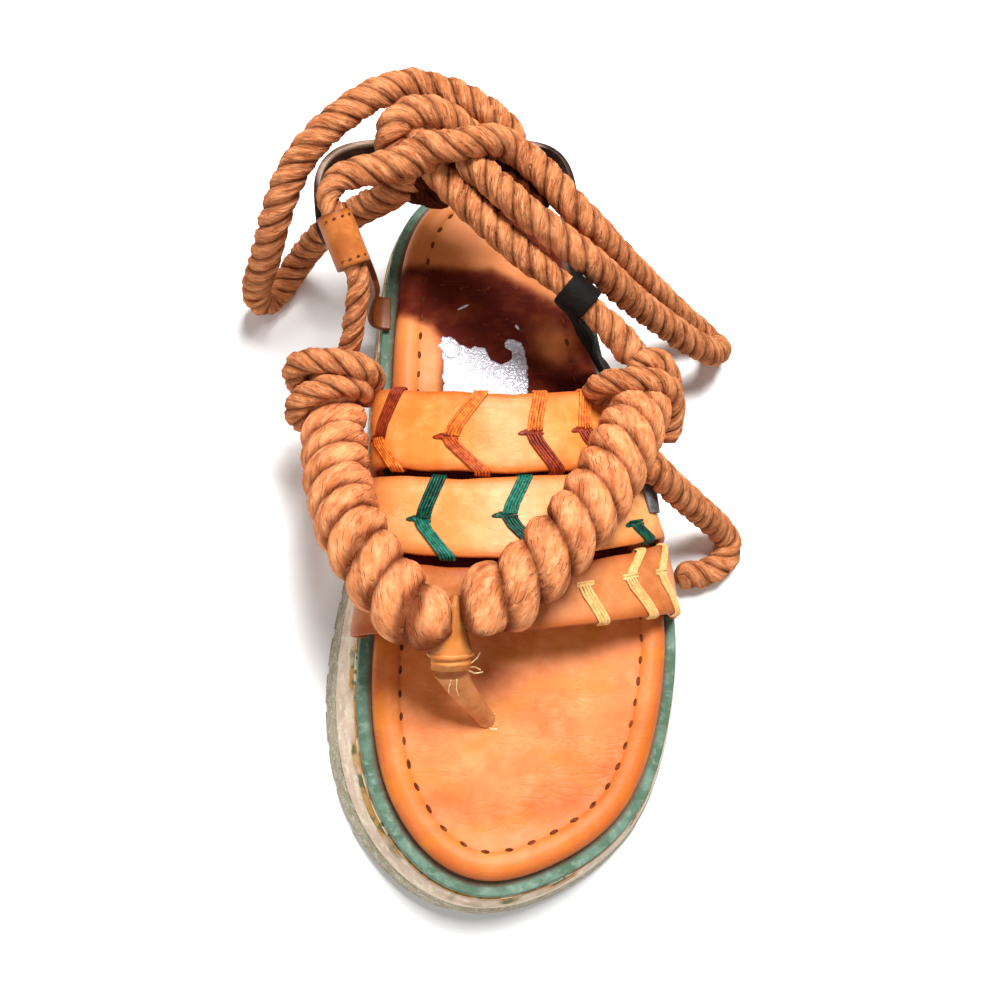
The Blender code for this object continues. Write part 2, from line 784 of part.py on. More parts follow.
def build():
    clear_scene()
    halves = outline_halves()
    for row in LAYERS:
        made = layer(halves, row)
        if row[0] == "outsole":
            cut_grooves(made)
    footbed(halves)
    for name in ("strap_top", "strap_middle", "strap_front"):
        strap(halves, name)
    rope_arm("rope_arm_medial", ARM_MEDIAL)
    rope_arm("rope_arm_lateral", ARM_LATERAL)
    toe_post()
    oval_loft("toe_post_ring", RING_FRONT, RING_BACK, RING_ROWS)
    oval_loft("toe_wedge", WEDGE_FRONT, WEDGE_BACK, WEDGE_ROWS)
    quarter_strap("quarter_strap_medial", QUARTER_MEDIAL, TUBE_MEDIAL_CENTRE, TUBE_MEDIAL_AXIS,
                  TUBE_MEDIAL_WIDE, 1.0, TUBE_RADIUS_MEDIAL)
    quarter_strap("quarter_strap_lateral", QUARTER_LATERAL, TUBE_LATERAL_CENTRE, TUBE_LATERAL_AXIS,
                  TUBE_LATERAL_WIDE, -1.0, TUBE_RADIUS_LATERAL)
    heel_band()
    rope("tie_rope_medial", TIE_ROPE_MEDIAL)
    rope("tie_rope_lateral", TIE_ROPE_LATERAL)
    rope("bow_loop_medial", BOW_LOOP_MEDIAL)
    rope("bow_loop_lateral", BOW_LOOP_LATERAL)
    rope("rope_tail", ROPE_TAIL)
    bow_knot()


build()
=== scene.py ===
# A platform thong sandal for the left foot, with wound rope arms and a rope bow.
# Tables are in millimetres in the last's frame; place() gives metres about the origin.
import random
from math import cos, exp, pi, radians, sin, sqrt

import bpy
from mathutils import Matrix, Vector
from mathutils import noise
from mathutils.bvhtree import BVHTree
from mathutils.kdtree import KDTree


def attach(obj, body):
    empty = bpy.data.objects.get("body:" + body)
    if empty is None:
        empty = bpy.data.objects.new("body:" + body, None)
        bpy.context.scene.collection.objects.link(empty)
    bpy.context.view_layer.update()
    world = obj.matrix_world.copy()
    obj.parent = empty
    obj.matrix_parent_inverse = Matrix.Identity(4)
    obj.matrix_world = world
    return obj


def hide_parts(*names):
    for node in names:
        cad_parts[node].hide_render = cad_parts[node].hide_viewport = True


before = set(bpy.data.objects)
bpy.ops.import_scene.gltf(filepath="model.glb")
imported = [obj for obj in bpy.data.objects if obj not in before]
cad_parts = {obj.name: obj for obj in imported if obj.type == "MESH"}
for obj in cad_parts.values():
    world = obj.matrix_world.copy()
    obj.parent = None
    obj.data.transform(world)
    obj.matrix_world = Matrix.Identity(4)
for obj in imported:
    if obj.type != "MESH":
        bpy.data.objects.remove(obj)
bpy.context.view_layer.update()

MM = 0.001
CENTRE_X = -6.39
CENTRE_Y = -4.95
BODY = "root"
UP = Vector((0.0, 0.0, 1.0))

# ---------------------------------------------------------------- the last and its curves
OUTLINE = [
    # x and y, from the heel's centre round the medial side
    (-9.0, 114.0), (-27.5, 106.0), (-37.5, 88.0), (-40.5, 62.0), (-41.5, 34.0), (-41.0, 4.0),
    (-42.5, -25.0), (-45.2, -55.0), (-44.3, -78.0), (-39.0, -98.0), (-26.5, -114.8), (-9.4, -121.6),
    (12.0, -115.8), (30.4, -103.0), (41.5, -82.0), (47.5, -50.0), (45.0, -22.0), (37.5, 6.0),
    (29.0, 38.0), (24.5, 64.0), (20.5, 88.0), (10.0, 106.0),
]
TOE_ROW = 11
CURVE_STEPS = 16
RIM_STEPS = 20
SIDE_ROWS = 30
EDGE_ROWS = 150


def place(point):
    """A point of the last's frame, in metres about the object's origin."""
    return Vector((point[0] - CENTRE_X, point[1] - CENTRE_Y, point[2])) * MM


def unplace(point):
    """A point of an object, in millimetres in the last's frame."""
    return (point[0] / MM + CENTRE_X, point[1] / MM + CENTRE_Y, point[2] / MM)


def limit(value):
    """A number kept from 0 to 1."""
    return max(0.0, min(1.0, value))


def through(rows, share, closed=False):
    """The smooth curve through rows of numbers, at share counted in rows."""
    count = len(rows)
    row = int(share) if closed else min(int(share), count - 2)
    part = share - row

    def at(index):
        if closed:
            return rows[index % count]
        if index < 0:
            return [2 * a - b for a, b in zip(rows[0], rows[1])]
        if index >= count:
            return [2 * a - b for a, b in zip(rows[-1], rows[-2])]
        return rows[index]

    answer = []
    for a, b, c, d in zip(at(row - 1), at(row), at(row + 1), at(row + 2)):
        bend = 2 * a - 5 * b + 4 * c - d
        twist = -a + 3 * b - 3 * c + d
        answer.append(0.5 * (2 * b + (c - a) * part + bend * part ** 2 + twist * part ** 3))
    return answer


def run_length(rows):
    """The length of a line of rows."""
    return sum((Vector(a[:3]) - Vector(b[:3])).length for a, b in zip(rows, rows[1:]))


def evenly(dense, count):
    """Count + 1 rows spaced evenly along a dense run of rows."""
    run = [0.0]
    for a, b in zip(dense, dense[1:]):
        run.append(run[-1] + sqrt(sum((p - q) ** 2 for p, q in zip(a[:3], b[:3]))))
    rows = []
    spot = 0
    for index in range(count + 1):
        goal = run[-1] * index / count
        while spot < len(run) - 2 and run[spot + 1] < goal:
            spot += 1
        part = (goal - run[spot]) / (run[spot + 1] - run[spot])
        rows.append([p + (q - p) * part for p, q in zip(dense[spot], dense[spot + 1])])
    return rows


def smooth_route(route, step):
    """Points about a step apart along the smooth curve through a route."""
    dense = [through(route, i / CURVE_STEPS) for i in range(CURVE_STEPS * (len(route) - 1) + 1)]
    return evenly(dense, max(4, round(run_length(dense) / step)))


def tangent(rows, index):
    """The direction of a line at one of its rows."""
    ahead, behind = rows[min(len(rows) - 1, index + 1)], rows[max(0, index - 1)]
    return (Vector(ahead[:3]) - Vector(behind[:3])).normalized()


def rim_halves(count):
    """Both halves of the outline from heel to toe: x, y and outward normal."""
    dense = [through(OUTLINE, i / RIM_STEPS, True) for i in range(RIM_STEPS * len(OUTLINE) + 1)]
    toe = RIM_STEPS * TOE_ROW
    halves = []
    for half, turn in ((dense[:toe + 1], 1.0), (dense[:toe - 1:-1], -1.0)):
        flat = evenly(half, count)
        found = []
        for index, (x, y) in enumerate(flat):
            along = tangent(flat, index)
            found.append((x, y, along.y * turn, -along.x * turn))
        found[0] = (*flat[0], 0.0, 1.0)
        found[-1] = (*flat[-1], 0.0, -1.0)
        halves.append(found)
    return halves


def nearest(points):
    """A tree that finds the nearest of some points."""
    tree = KDTree(len(points))
    for index, point in enumerate(points):
        tree.insert(point, index)
    tree.balance()
    return tree


HALVES = rim_halves(SIDE_ROWS)
MEDIAL_EDGE, LATERAL_EDGE = rim_halves(EDGE_ROWS)
RIM = MEDIAL_EDGE + LATERAL_EDGE[-2:0:-1]
RIM_TREE = nearest([(row[0], row[1], 0.0) for row in RIM])


def rim_inwards(x, y):
    """How far a point lies inwards from the footbed's edge."""
    rim_x, rim_y, across, ahead = RIM[RIM_TREE.find((x, y, 0.0))[1]]
    return (rim_x - x) * across + (rim_y - y) * ahead


# ---------------------------------------------------------------- materials
def srgb(red, green, blue):
    """A colour from its eight-bit values, as the shader wants it."""
    def line(value):
        value /= 255.0
        return value / 12.92 if value <= 0.04045 else ((value + 0.055) / 1.055) ** 2.4
    return (line(red), line(green), line(blue), 1.0)


def feed(tree, socket, value):
    """Link a value to a socket, or set the socket: colours are given in eight-bit values."""
    if isinstance(value, Value):
        tree.links.new(value.socket, socket)
    else:
        socket.default_value = srgb(*value) if socket.type == "RGBA" else value


class Value:
    """A socket that can be added, multiplied and so on, each adding its Math node."""

    def __init__(self, tree, socket):
        self.tree = tree
        self.socket = socket

    def maths(self, operation, *others, first=None):
        node = self.tree.nodes.new("ShaderNodeMath")
        node.operation = operation
        values = [self, *others] if first is None else [first, self, *others]
        for socket, value in zip(node.inputs, values):
            feed(self.tree, socket, value)
        return Value(self.tree, node.outputs[0])

    def __add__(self, other):
        return self.maths("ADD", other)

    def __sub__(self, other):
        return self.maths("SUBTRACT", other)

    def __rsub__(self, other):
        return self.maths("SUBTRACT", first=other)

    def __mul__(self, other):
        return self.maths("MULTIPLY", other)

    def __truediv__(self, other):
        return self.maths("DIVIDE", other)

    __radd__ = __add__
    __rmul__ = __mul__

    def clamp(self):
        return self.maths("MAXIMUM", 0.0).maths("MINIMUM", 1.0)

    def above(self, level, soft):
        """0 below a level and 1 above it, over a soft step."""
        return ((self - level) / soft + 0.5).clamp()

    def below(self, level, soft):
        return 1.0 - self.above(level, soft)

    def near(self, level, wide):
        """1 at a level, and 0 from a width away."""
        return 1.0 - ((self - level).maths("ABSOLUTE") / wide).clamp()


class Finish:
    """A material with its Principled shader, its colour so far and the few nodes it is built from."""

    def __init__(self, name, colour=None, **fixed):
        self.material = bpy.data.materials.new(name)
        self.material.use_nodes = True
        self.tree = self.material.node_tree
        self.shader = self.tree.nodes["Principled BSDF"]
        self.colour = colour
        self.set(**fixed)

    def set(self, **sockets):
        """Set or link sockets of the shader: an underscore stands for a space."""
        for key, value in sockets.items():
            feed(self.tree, self.shader.inputs[key.replace("_", " ")], value)

    def node(self, kind, settings=None, output=0, **sockets):
        made = self.tree.nodes.new(kind)
        for key, value in (settings or {}).items():
            setattr(made, key, value)
        for key, value in sockets.items():
            feed(self.tree, made.inputs[key.replace("_", " ")], value)
        return Value(self.tree, made.outputs[output])

    def stretched(self, source, stretch, turn):
        """Coordinates in millimetres, stretched along each axis and turned about Z."""
        scale = tuple(s / MM for s in stretch)
        return self.node("ShaderNodeMapping", Vector=source, Scale=scale, Rotation=(0.0, 0.0, turn))

    def spot(self, stretch=(1.0, 1.0, 1.0), turn=0.0):
        """The place on the object."""
        return self.stretched(self.node("ShaderNodeTexCoord", output=3), stretch, turn)

    def uv(self, stretch, turn=0.0):
        """The rope's own UV map: along it and round it."""
        return self.stretched(self.node("ShaderNodeUVMap", {"uv_map": "Run"}), (stretch, 1.0, 1.0), turn)

    def axis(self, vector, index):
        return self.node("ShaderNodeSeparateXYZ", output=index, Vector=vector)

    def attribute(self, name):
        return self.node("ShaderNodeAttribute", {"attribute_name": name}, output=2)

    def noise(self, vector, size, detail=3.0, rough=0.55):
        """Noise whose features are about size millimetres across."""
        return self.node("ShaderNodeTexNoise", Vector=vector, Scale=1.0 / size, Detail=detail,
                         Roughness=rough)

    def cells(self, vector, size, feature="F1"):
        return self.node("ShaderNodeTexVoronoi", {"feature": feature}, Vector=vector, Scale=1.0 / size)

    def mix(self, share, first, second):
        node = self.tree.nodes.new("ShaderNodeMix")
        node.data_type = "RGBA"
        for index, value in ((0, share), (6, first), (7, second)):
            feed(self.tree, node.inputs[index], value)
        return Value(self.tree, node.outputs[2])

    def paint(self, share, tone):
        """Lay a tone over the colour so far, where share says."""
        self.colour = self.mix(share, self.colour, tone)

    def done(self, rough, height, strength, depth, **sockets):
        """Finish with a roughness and a bump: height from 0 to 1, depth in millimetres."""
        normal = self.node("ShaderNodeBump", Height=height, Strength=strength, Distance=depth * MM)
        self.set(Base_Color=self.colour, Roughness=rough, Normal=normal, **sockets)
        return self.material


CHANNEL_IN = 8.7


def tanned(name, base, deep, pale, grain, roughness, crinkle, burnish_and_painted_light=None, coat=0.08):
    """Vegetable-tanned leather: mottled tone, pores, fine folds, and an edge tone where the edge attribute
    says: burnished edges, with painted shade on the medial upright's lower part and on the fold, and a
    painted highlight on the heel strip's lips.
    """
    finish = Finish(name, base, Coat_Weight=coat, Coat_Roughness=0.3, Specular_IOR_Level=0.15)
    at = finish.spot()
    finish.paint(finish.noise(at, 26.0, 4.0, 0.6).above(0.5, 0.3), deep)
    finish.paint(finish.noise(at, 8.0, 3.0, 0.6).above(0.58, 0.3) * 0.6, pale)
    if burnish_and_painted_light:
        ragged = finish.noise(at, 3.0) * 0.8 - 0.4
        # the edge tone: burnish on strap and tube edges, and painted shade and highlight on the pieces that
        # set the edge attribute for it
        finish.paint((finish.attribute("edge") * 1.1 + ragged * 0.35).clamp() * 0.8, burnish_and_painted_light)
    pores = finish.cells(at, grain)
    fold = finish.cells(finish.spot((1.0, 2.4, 1.0)), 6.0, "DISTANCE_TO_EDGE")
    fold = (1.0 - (fold * 6.0).clamp()) * finish.noise(at, 16.0, 2.0).above(0.52, 0.16)
    finish.paint(pores.below(0.2, 0.3) * 0.14, deep)
    finish.paint(fold * crinkle, deep)
    height = pores * 0.2 + finish.noise(at, 2.6) * 0.5 - fold * 0.4
    rough = finish.noise(at, 5.0) * 0.22 + (roughness - 0.1)
    return finish, at, rough, height


def leather(*row):
    """Leather for straps and bindings."""
    finish, at, rough, height = tanned(*row)
    return finish.done(rough, height, 0.5, 0.3)


def footbed_leather():
    """The footbed: a burnished rim darkened at its foot as painted shade, a stitch channel in painted shade,
    ochre patches, painted shade with some staining, and a few scratches.
    """
    finish, at, rough, height = tanned("footbed_tan", (228, 132, 70), (206, 106, 46), (242, 156, 96),
                                       0.7, 0.45, 0.12)
    inwards = finish.attribute("inwards")
    finish.paint(inwards.below(6.9, 1.4) * 0.35, (214, 112, 44))
    # darker towards the rim's outer foot: a burnished edge, deepened as painted shade where the rim rolls
    # down
    finish.paint(inwards.below(3.0, 5.0) * 0.72, (156, 68, 18))
    # painted shade along the stitch channel, which the bump also sinks
    channel = inwards.near(CHANNEL_IN, 1.1)
    finish.paint(channel * 0.38, (178, 92, 40))
    ochre = finish.noise(finish.spot((1.0, 1.6, 1.0)), 17.0).above(0.57, 0.12)
    finish.paint(ochre * 0.6, (206, 118, 34))
    blot = finish.attribute("ochre") * (finish.noise(at, 6.0) * 1.2 + 0.1)
    finish.paint(blot.clamp(), (190, 88, 14))
    finish.paint(finish.axis(at, 1).above(46.0, 30.0) * 0.55, (222, 138, 76))
    # painted shade, with some real staining: near black at the heel under the knot, between the ropes and
    # under the straps
    stain_and_shade = finish.attribute("stain_and_shade")
    ragged = finish.noise(at, 9.0, 3.0, 0.6)
    finish.paint((stain_and_shade * 1.25 - ragged * 0.5).clamp() * 0.9, (132, 30, 8))
    finish.paint((stain_and_shade * 1.7 - ragged * 1.5).clamp() * 0.8, (62, 2, 0))
    scratch = finish.noise(finish.spot((0.5, 5.0, 1.0), 0.5), 9.0, 1.0, 0.3).near(0.52, 1 / 140)
    scratch = scratch * finish.noise(at, 20.0, 1.0).above(0.56, 0.08)
    finish.paint(scratch * 0.45, (190, 104, 52))
    height = height * 0.7 - channel - scratch * 0.3
    return finish.done(rough + stain_and_shade * 0.3, height, 0.5, 0.35, Coat_Weight=(1.0 - stain_and_shade) * 0.04)


def cotton(name, lit, mid, deep, pale):
    """Soft cotton rope: fibres along each strand, small curled creases, and painted shade between strands
    and turns.
    """
    finish = Finish(name, lit, Specular_IOR_Level=0.05)
    at = finish.spot()
    fibre = finish.noise(finish.uv(0.7), 0.7, 3.0, 0.65)
    tuft = finish.noise(finish.uv(0.75, 0.7), 2.0, 3.0, 0.6)
    curl = finish.noise(finish.uv(0.55), 2.7, 2.0, 0.5).near(0.5, 1 / 22)
    curl = curl * finish.noise(at, 4.0, 2.0).above(0.48, 0.2)
    cloud = finish.noise(at, 8.0)
    finish.paint(cloud.above(0.5, 0.3), mid)
    finish.paint(tuft.above(0.56, 0.2) * 0.7, pale)
    finish.paint(tuft.below(0.42, 0.2) * 0.45, mid)
    finish.paint(fibre.below(0.42, 0.3) * 0.4, mid)
    finish.paint(curl * 0.22, deep)
    # painted shade in the valleys between strands, and between the arms' turns
    finish.paint(finish.attribute("valley").clamp() * (0.5 + cloud * 0.7), deep)
    return finish.done(0.92, tuft * 0.8 + fibre * 0.35 - curl * 0.45, 0.85, 0.8)


def waxed(name, first, second, gloss=0.45):
    """Waxed lacing thread in two tones, with its fine twist."""
    finish = Finish(name, first, Specular_IOR_Level=0.25)
    finish.paint(finish.noise(finish.spot(), 1.6, 2.0).above(0.5, 0.2), second)
    twist = finish.noise(finish.spot((2.5, 2.5, 2.5)), 1.0, 2.0)
    return finish.done(gloss, twist, 0.6, 0.15)


def foam(name, base, second, third, roughness, speck, size, shaded=False, gilt=False):
    """The edge of a sole layer: washed paint over foam, scuffed and a little dirty low down."""
    finish = Finish(name, base, Specular_IOR_Level=0.35)
    at = finish.spot()
    tall = finish.spot((1.0, 1.0, 2.2))
    spots = finish.noise(at, size * 0.35, 3.0, 0.6)
    finish.paint(finish.noise(tall, size, 4.0, 0.62).above(0.48, 0.2), second)
    finish.paint(spots.above(0.60, 0.14) * 0.75, third)
    grit = finish.noise(at, 0.5, 2.0, 0.7)
    finish.paint(grit.below(0.44, 0.1) * speck, (96, 84, 62))
    scuff = finish.noise(finish.spot((0.3, 0.3, 1.6)), 1.6, 3.0, 0.7).above(0.66, 0.1)
    finish.paint(scuff * 0.35, (120, 108, 88))
    if shaded:
        finish.paint(finish.attribute("inwards").above(-1.0, 1.0) * 0.75, (92, 52, 24))
    if gilt:
        torn = finish.noise(at, 9.0, 3.0, 0.6) * 5.0 + 13.6
        patch = (finish.axis(at, 2) - torn).above(0.0, 0.5)
        patch = patch * finish.noise(finish.spot((1.0, 1.0, 0.4)), 15.0, 2.0).above(0.5, 0.1)
        finish.paint(patch, finish.mix(finish.noise(at, 5.0, 2.0).above(0.52, 0.06),
                                       (190, 134, 44), (96, 96, 52)))
    return finish.done(finish.noise(tall, 3.0) * 0.2 + roughness, grit * 0.6 + spots * 0.5, 0.45,
                       0.3 + speck)


def gold_line():
    """A thin gold line, brushed on by hand: gold, cream and olive in turn."""
    finish = Finish("gold_line", (190, 128, 44), Specular_IOR_Level=0.5)
    along = finish.spot((1.0, 1.0, 0.3))
    finish.paint(finish.noise(along, 15.0, 3.0, 0.6).above(0.52, 0.08), (222, 204, 168))
    finish.paint(finish.noise(along, 2.2, 2.0).above(0.60, 0.08), (116, 104, 44))
    return finish.done(0.45, finish.noise(finish.spot(), 0.8), 0.5, 0.3)


def worn_silver():
    """Worn speckled foil, pale with lilac."""
    finish = Finish("worn_foil", (196, 192, 200), Specular_IOR_Level=0.5)
    at = finish.spot()
    fleck = finish.cells(at, 0.55)
    tone = finish.noise(at, 1.3, 3.0, 0.8)
    finish.paint(tone.above(0.5, 0.2), (168, 162, 176))
    finish.paint(fleck.above(0.62, 0.1) * 0.8, (222, 222, 228))
    finish.paint(finish.noise(at, 0.8, 2.0).above(0.64, 0.08) * 0.3, (112, 96, 124))
    return finish.done(tone * 0.3 + 0.2, fleck, 0.5, 0.15, Metallic=fleck.above(0.6, 0.1) * 0.4)


ROPES = {
    # name, lit, middle and deep tones, pale tufts
    "rope": ("rope_cotton", (230, 150, 98), (206, 120, 72), (104, 44, 20), (244, 176, 124)),
    # a darker copy of the rope for the bow, knot, tail and hitches at the heel end: painted shade, as that
    # end gets less light
    "rope_shaded_copy": ("rope_handled", (212, 135, 87), (178, 103, 61), (74, 28, 11), (232, 164, 114)),
    # near black: painted shade for the rope tucked deep under the knot
    "rope_dark": ("rope_shaded", (84, 34, 14), (58, 20, 8), (24, 7, 3), (104, 50, 24)),
}
LEATHERS = {
    # name, base, deep and pale tones, pore size, roughness, folds, edge tone for burnish and painted light,
    # coat
    "top": ("strap_orange", (226, 140, 68), (206, 112, 40), (240, 172, 102), 0.6, 0.42, 0.2, (176, 74, 14)),
    "middle": ("strap_peach", (232, 158, 94), (214, 134, 68), (244, 184, 128), 0.6, 0.42, 0.2,
               (186, 86, 24)),
    "front": ("strap_brown", (202, 124, 70), (178, 98, 46), (222, 148, 94), 0.6, 0.42, 0.25, (156, 68, 22)),
    "post": ("post_brown", (204, 130, 78), (166, 94, 44), (236, 172, 116), 0.5, 0.5, 0.3),
    "ring": ("ring_ochre", (206, 126, 60), (168, 92, 34), (232, 162, 92), 0.5, 0.4, 0.3, (112, 54, 16)),
    "tube": ("tube_tan", (192, 110, 48), (148, 74, 24), (226, 144, 74), 0.5, 0.4, 0.3, (84, 34, 10)),
    # tan leather made near black: painted shade, as the lateral upright sits in deep shade under the bow
    "dark": ("dark_leather", (14, 9, 7), (8, 5, 4), (34, 20, 14), 0.5, 0.7, 0.3, None, 0.0),
    # heel strip: a dark lining darkened further as painted shade under the knot, with paler lips as a
    # painted highlight
    "band": ("band_leather", (46, 26, 18), (28, 15, 11), (84, 56, 42), 0.5, 0.5, 0.3, (176, 150, 130)),
    "scuffed": ("strap_end_grey", (92, 92, 92), (34, 34, 34), (150, 150, 150), 0.5, 0.45, 0.3),
}
FOAMS = {
    # name, three tones, roughness, specks, size of the wash, shaded by the footbed, gilt on top
    "teal": ("teal_wash", (98, 130, 112), (68, 98, 76), (124, 148, 130), 0.55, 0.2, 8.0, True),
    "cream": ("cream_edge", (226, 206, 178), (206, 178, 156), (236, 222, 200), 0.55, 0.12, 9.0, False, True),
    "outsole": ("tread_speckled", (186, 176, 152), (160, 150, 126), (214, 205, 184), 0.8, 0.6, 6.0),
}
WAXED = {
    # name, two tones, gloss
    # near black: painted shade for the inside of each arm, seen between its turns
    "core": ("rope_core", (60, 28, 14), (80, 40, 20), 0.9),
    "chalk": ("chalk_mark", (226, 224, 226), (208, 204, 208), 0.7),
    # dark brown beads that stand in for stitch holes: painted shade inside the holes
    "hole": ("stitch_brown", (120, 58, 24), (84, 36, 12), 0.95),
    "orange_thread": ("thread_orange", (220, 122, 42), (190, 88, 26)),
    "rust_thread": ("thread_rust", (146, 50, 14), (108, 30, 8)),
    "copper_thread": ("thread_copper", (196, 92, 34), (160, 62, 18)),
    "green_thread": ("thread_green", (8, 78, 58), (4, 46, 36)),
    "teal_thread": ("thread_teal", (30, 118, 96), (8, 80, 64)),
    "yellow_thread": ("thread_yellow", (230, 184, 118), (214, 164, 98)),
    "pale_thread": ("thread_pale", (240, 216, 172), (216, 172, 118)),
}
MATS = {"footbed": footbed_leather(), "gold": gold_line(), "foil": worn_silver()}
for finish_kind, finish_rows in ((cotton, ROPES), (leather, LEATHERS), (foam, FOAMS), (waxed, WAXED)):
    for finish_name, finish_row in finish_rows.items():
        MATS[finish_name] = finish_kind(*finish_row)


# ---------------------------------------------------------------- helpers for pieces
def keep(piece, name, slot, material, *nodes):
    """Name a piece, give it its material, put it on the body and hide the nodes it stands for."""
    piece.name = name
    piece.data.name = name
    piece.data.materials.clear()
    piece.data.materials.append(material)
    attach(piece, BODY)
    if nodes:
        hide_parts(*nodes)
    return piece


def link(name, data):
    """A new object in the scene."""
    piece = bpy.data.objects.new(name, data)
    bpy.context.scene.collection.objects.link(piece)
    return piece


def add(primitive, **settings):
    """Add one of Blender's primitives, with nothing else selected."""
    bpy.ops.object.select_all(action="DESELECT")
    primitive(**settings)
    return bpy.context.object


def pick(piece):
    """Select one piece alone and make it active."""
    bpy.ops.object.select_all(action="DESELECT")
    piece.select_set(True)
    bpy.context.view_layer.objects.active = piece


def join(pieces):
    """Several new pieces as one."""
    pick(pieces[0])
    for piece in pieces[1:]:
        piece.select_set(True)
    bpy.ops.object.join()
    return pieces[0]


def face_outwards(piece):
    """Turn all the faces of a piece outwards."""
    pick(piece)
    bpy.ops.object.mode_set(mode="EDIT")
    bpy.ops.mesh.select_all(action="SELECT")
    bpy.ops.mesh.normals_make_consistent(inside=False)
    bpy.ops.object.mode_set(mode="OBJECT")


def thicken(piece, thick, offset=0.0, even=False):
    """Give a sheet its thickness, half to each side unless it is offset."""
    modifier = piece.modifiers.new("thick", "SOLIDIFY")
    modifier.thickness = thick * MM
    modifier.offset = offset
    modifier.use_even_offset = even


def round_edges(piece, width, sharp):
    """Round the edges that are sharper than an angle in degrees."""
    modifier = piece.modifiers.new("round", "BEVEL")
    modifier.width = width * MM
    modifier.segments = 2
    modifier.limit_method = "ANGLE"
    modifier.angle_limit = radians(sharp)


def settle(piece):
    """Apply the modifiers of a piece and shade it smooth."""
    pick(piece)
    for modifier in list(piece.modifiers):
        bpy.ops.object.modifier_apply(modifier=modifier.name)
    bpy.ops.object.shade_smooth()


def note(piece, name, values):
    """Write one number for each vertex of a piece."""
    layer = piece.data.attributes.new(name, "FLOAT", "POINT")
    layer.data.foreach_set("value", values)


def note_where(piece, name, measure):
    """Write what a measure of x and y gives at each vertex of a piece."""
    note(piece, name, [measure(*unplace(vertex.co)[:2]) for vertex in piece.data.vertices])


def cross_axes(rows):
    """Each point of a line with two unit vectors across it, which don't twist along the way."""
    side = UP
    for index, row in enumerate(rows):
        along = tangent(rows, index)
        side = (side - along * side.dot(along)).normalized()
        yield Vector(row[:3]), side, along.cross(side)


def ringed(points, sides):
    """A smooth piece through rings of points, closed at both ends."""
    faces = []
    last = len(points) - sides
    for ring in range(0, last, sides):
        for side in range(sides):
            follow = (side + 1) % sides
            faces.append((ring + side, ring + follow, ring + sides + follow, ring + sides + side))
    faces.append(tuple(range(sides - 1, -1, -1)))
    faces.append(tuple(range(last, last + sides)))
    mesh = bpy.data.meshes.new("ringed")
    mesh.from_pydata([place(point) for point in points], [], faces)
    for polygon in mesh.polygons:
        polygon.use_smooth = True
    return link("ringed", mesh)


def tube(rows, radius, sides):
    """A plain round tube along a line."""
    points = []
    for spot, side, across in cross_axes(rows):
        for step in range(sides):
            turn = 2 * pi * step / sides
            points.append(spot + (side * cos(turn) + across * sin(turn)) * radius)
    return ringed(points, sides)


# ---------------------------------------------------------------- ropes
VISIBLE_THICK = 10.0    # over the tufts, which stand out from the rope proper
ROPE_STEP = 1.15
ROPE_LAY = 19.5
ROPE_SOFT = 0.17        # how deep the valleys between strands are
ROPE_LUMP = 0.07
ROPE_COLUMNS = 36
CROWN = 0.75            # how broad a strand's crown is
END_SIZE = 0.03
STRANDS = 3
YARN_PITCH = 22.0
YARN_TURNS = 9
YARN_HIGH = 0.14
DOME = 0.32             # length of a rope's rounded end, as a share of its thickness
LUMP_SIZES = (0.16, 1.3)


def rope(rows, thick, step=ROPE_STEP, lay=ROPE_LAY, hand=1.0, soft=ROPE_SOFT, seed=0):
    """Three-strand rope along smooth rows of x, y, z and perhaps a size, and its centre line."""
    route = smooth_route(rows, step)
    total = run_length(route)
    dome = thick * DOME
    long, wide = LUMP_SIZES
    points, runs, line, valley = [], [], [], []
    run = 0.0
    before = Vector(route[0][:3])
    for row, (spot, side, across) in zip(route, cross_axes(route)):
        run += (spot - before).length
        runs.append(run)
        line.append(place(spot))
        before = spot
        size = row[3] if len(row) > 3 else 1.0
        edge = min(run, total - run, dome) / dome
        close = sqrt(max(0.0, 1.0 - (1.0 - edge) ** 2)) * (1.0 - END_SIZE) + END_SIZE
        for column in range(ROPE_COLUMNS):
            turn = 2 * pi * column / ROPE_COLUMNS
            crown = abs(cos(turn * STRANDS / 2)) ** CROWN
            lump = noise.noise(Vector((run * long + seed * 7.1, cos(turn) * wide, sin(turn) * wide)))
            yarn = sin(2 * pi * run / YARN_PITCH + turn * YARN_TURNS) * YARN_HIGH
            far = thick / 2 * size * close * (1.0 - soft + soft * crown) * (1.0 + ROPE_LUMP * lump)
            far += yarn * close
            angle = turn + hand * 2 * pi * run / lay
            points.append(spot + side * far * cos(angle) + across * far * sin(angle))
            # the valley share between strands, which the rope's finish paints as shade
            valley.append((1.0 - crown) ** 1.6)
    piece = ringed(points, ROPE_COLUMNS)
    mesh = piece.data
    layer = mesh.uv_layers.new(name="Run")
    for polygon in mesh.polygons:
        corners = list(polygon.loop_indices)
        columns = [mesh.loops[c].vertex_index % ROPE_COLUMNS for c in corners]
        wraps = max(columns) - min(columns) > ROPE_COLUMNS / 2 and len(corners) == 4
        for corner, column in zip(corners, columns):
            if wraps and column == 0:
                column = ROPE_COLUMNS
            far = runs[mesh.loops[corner].vertex_index // ROPE_COLUMNS]
            layer.data[corner].uv = (far * MM, column / ROPE_COLUMNS * pi * thick * MM)
    note(piece, "valley", valley)
    return piece, line


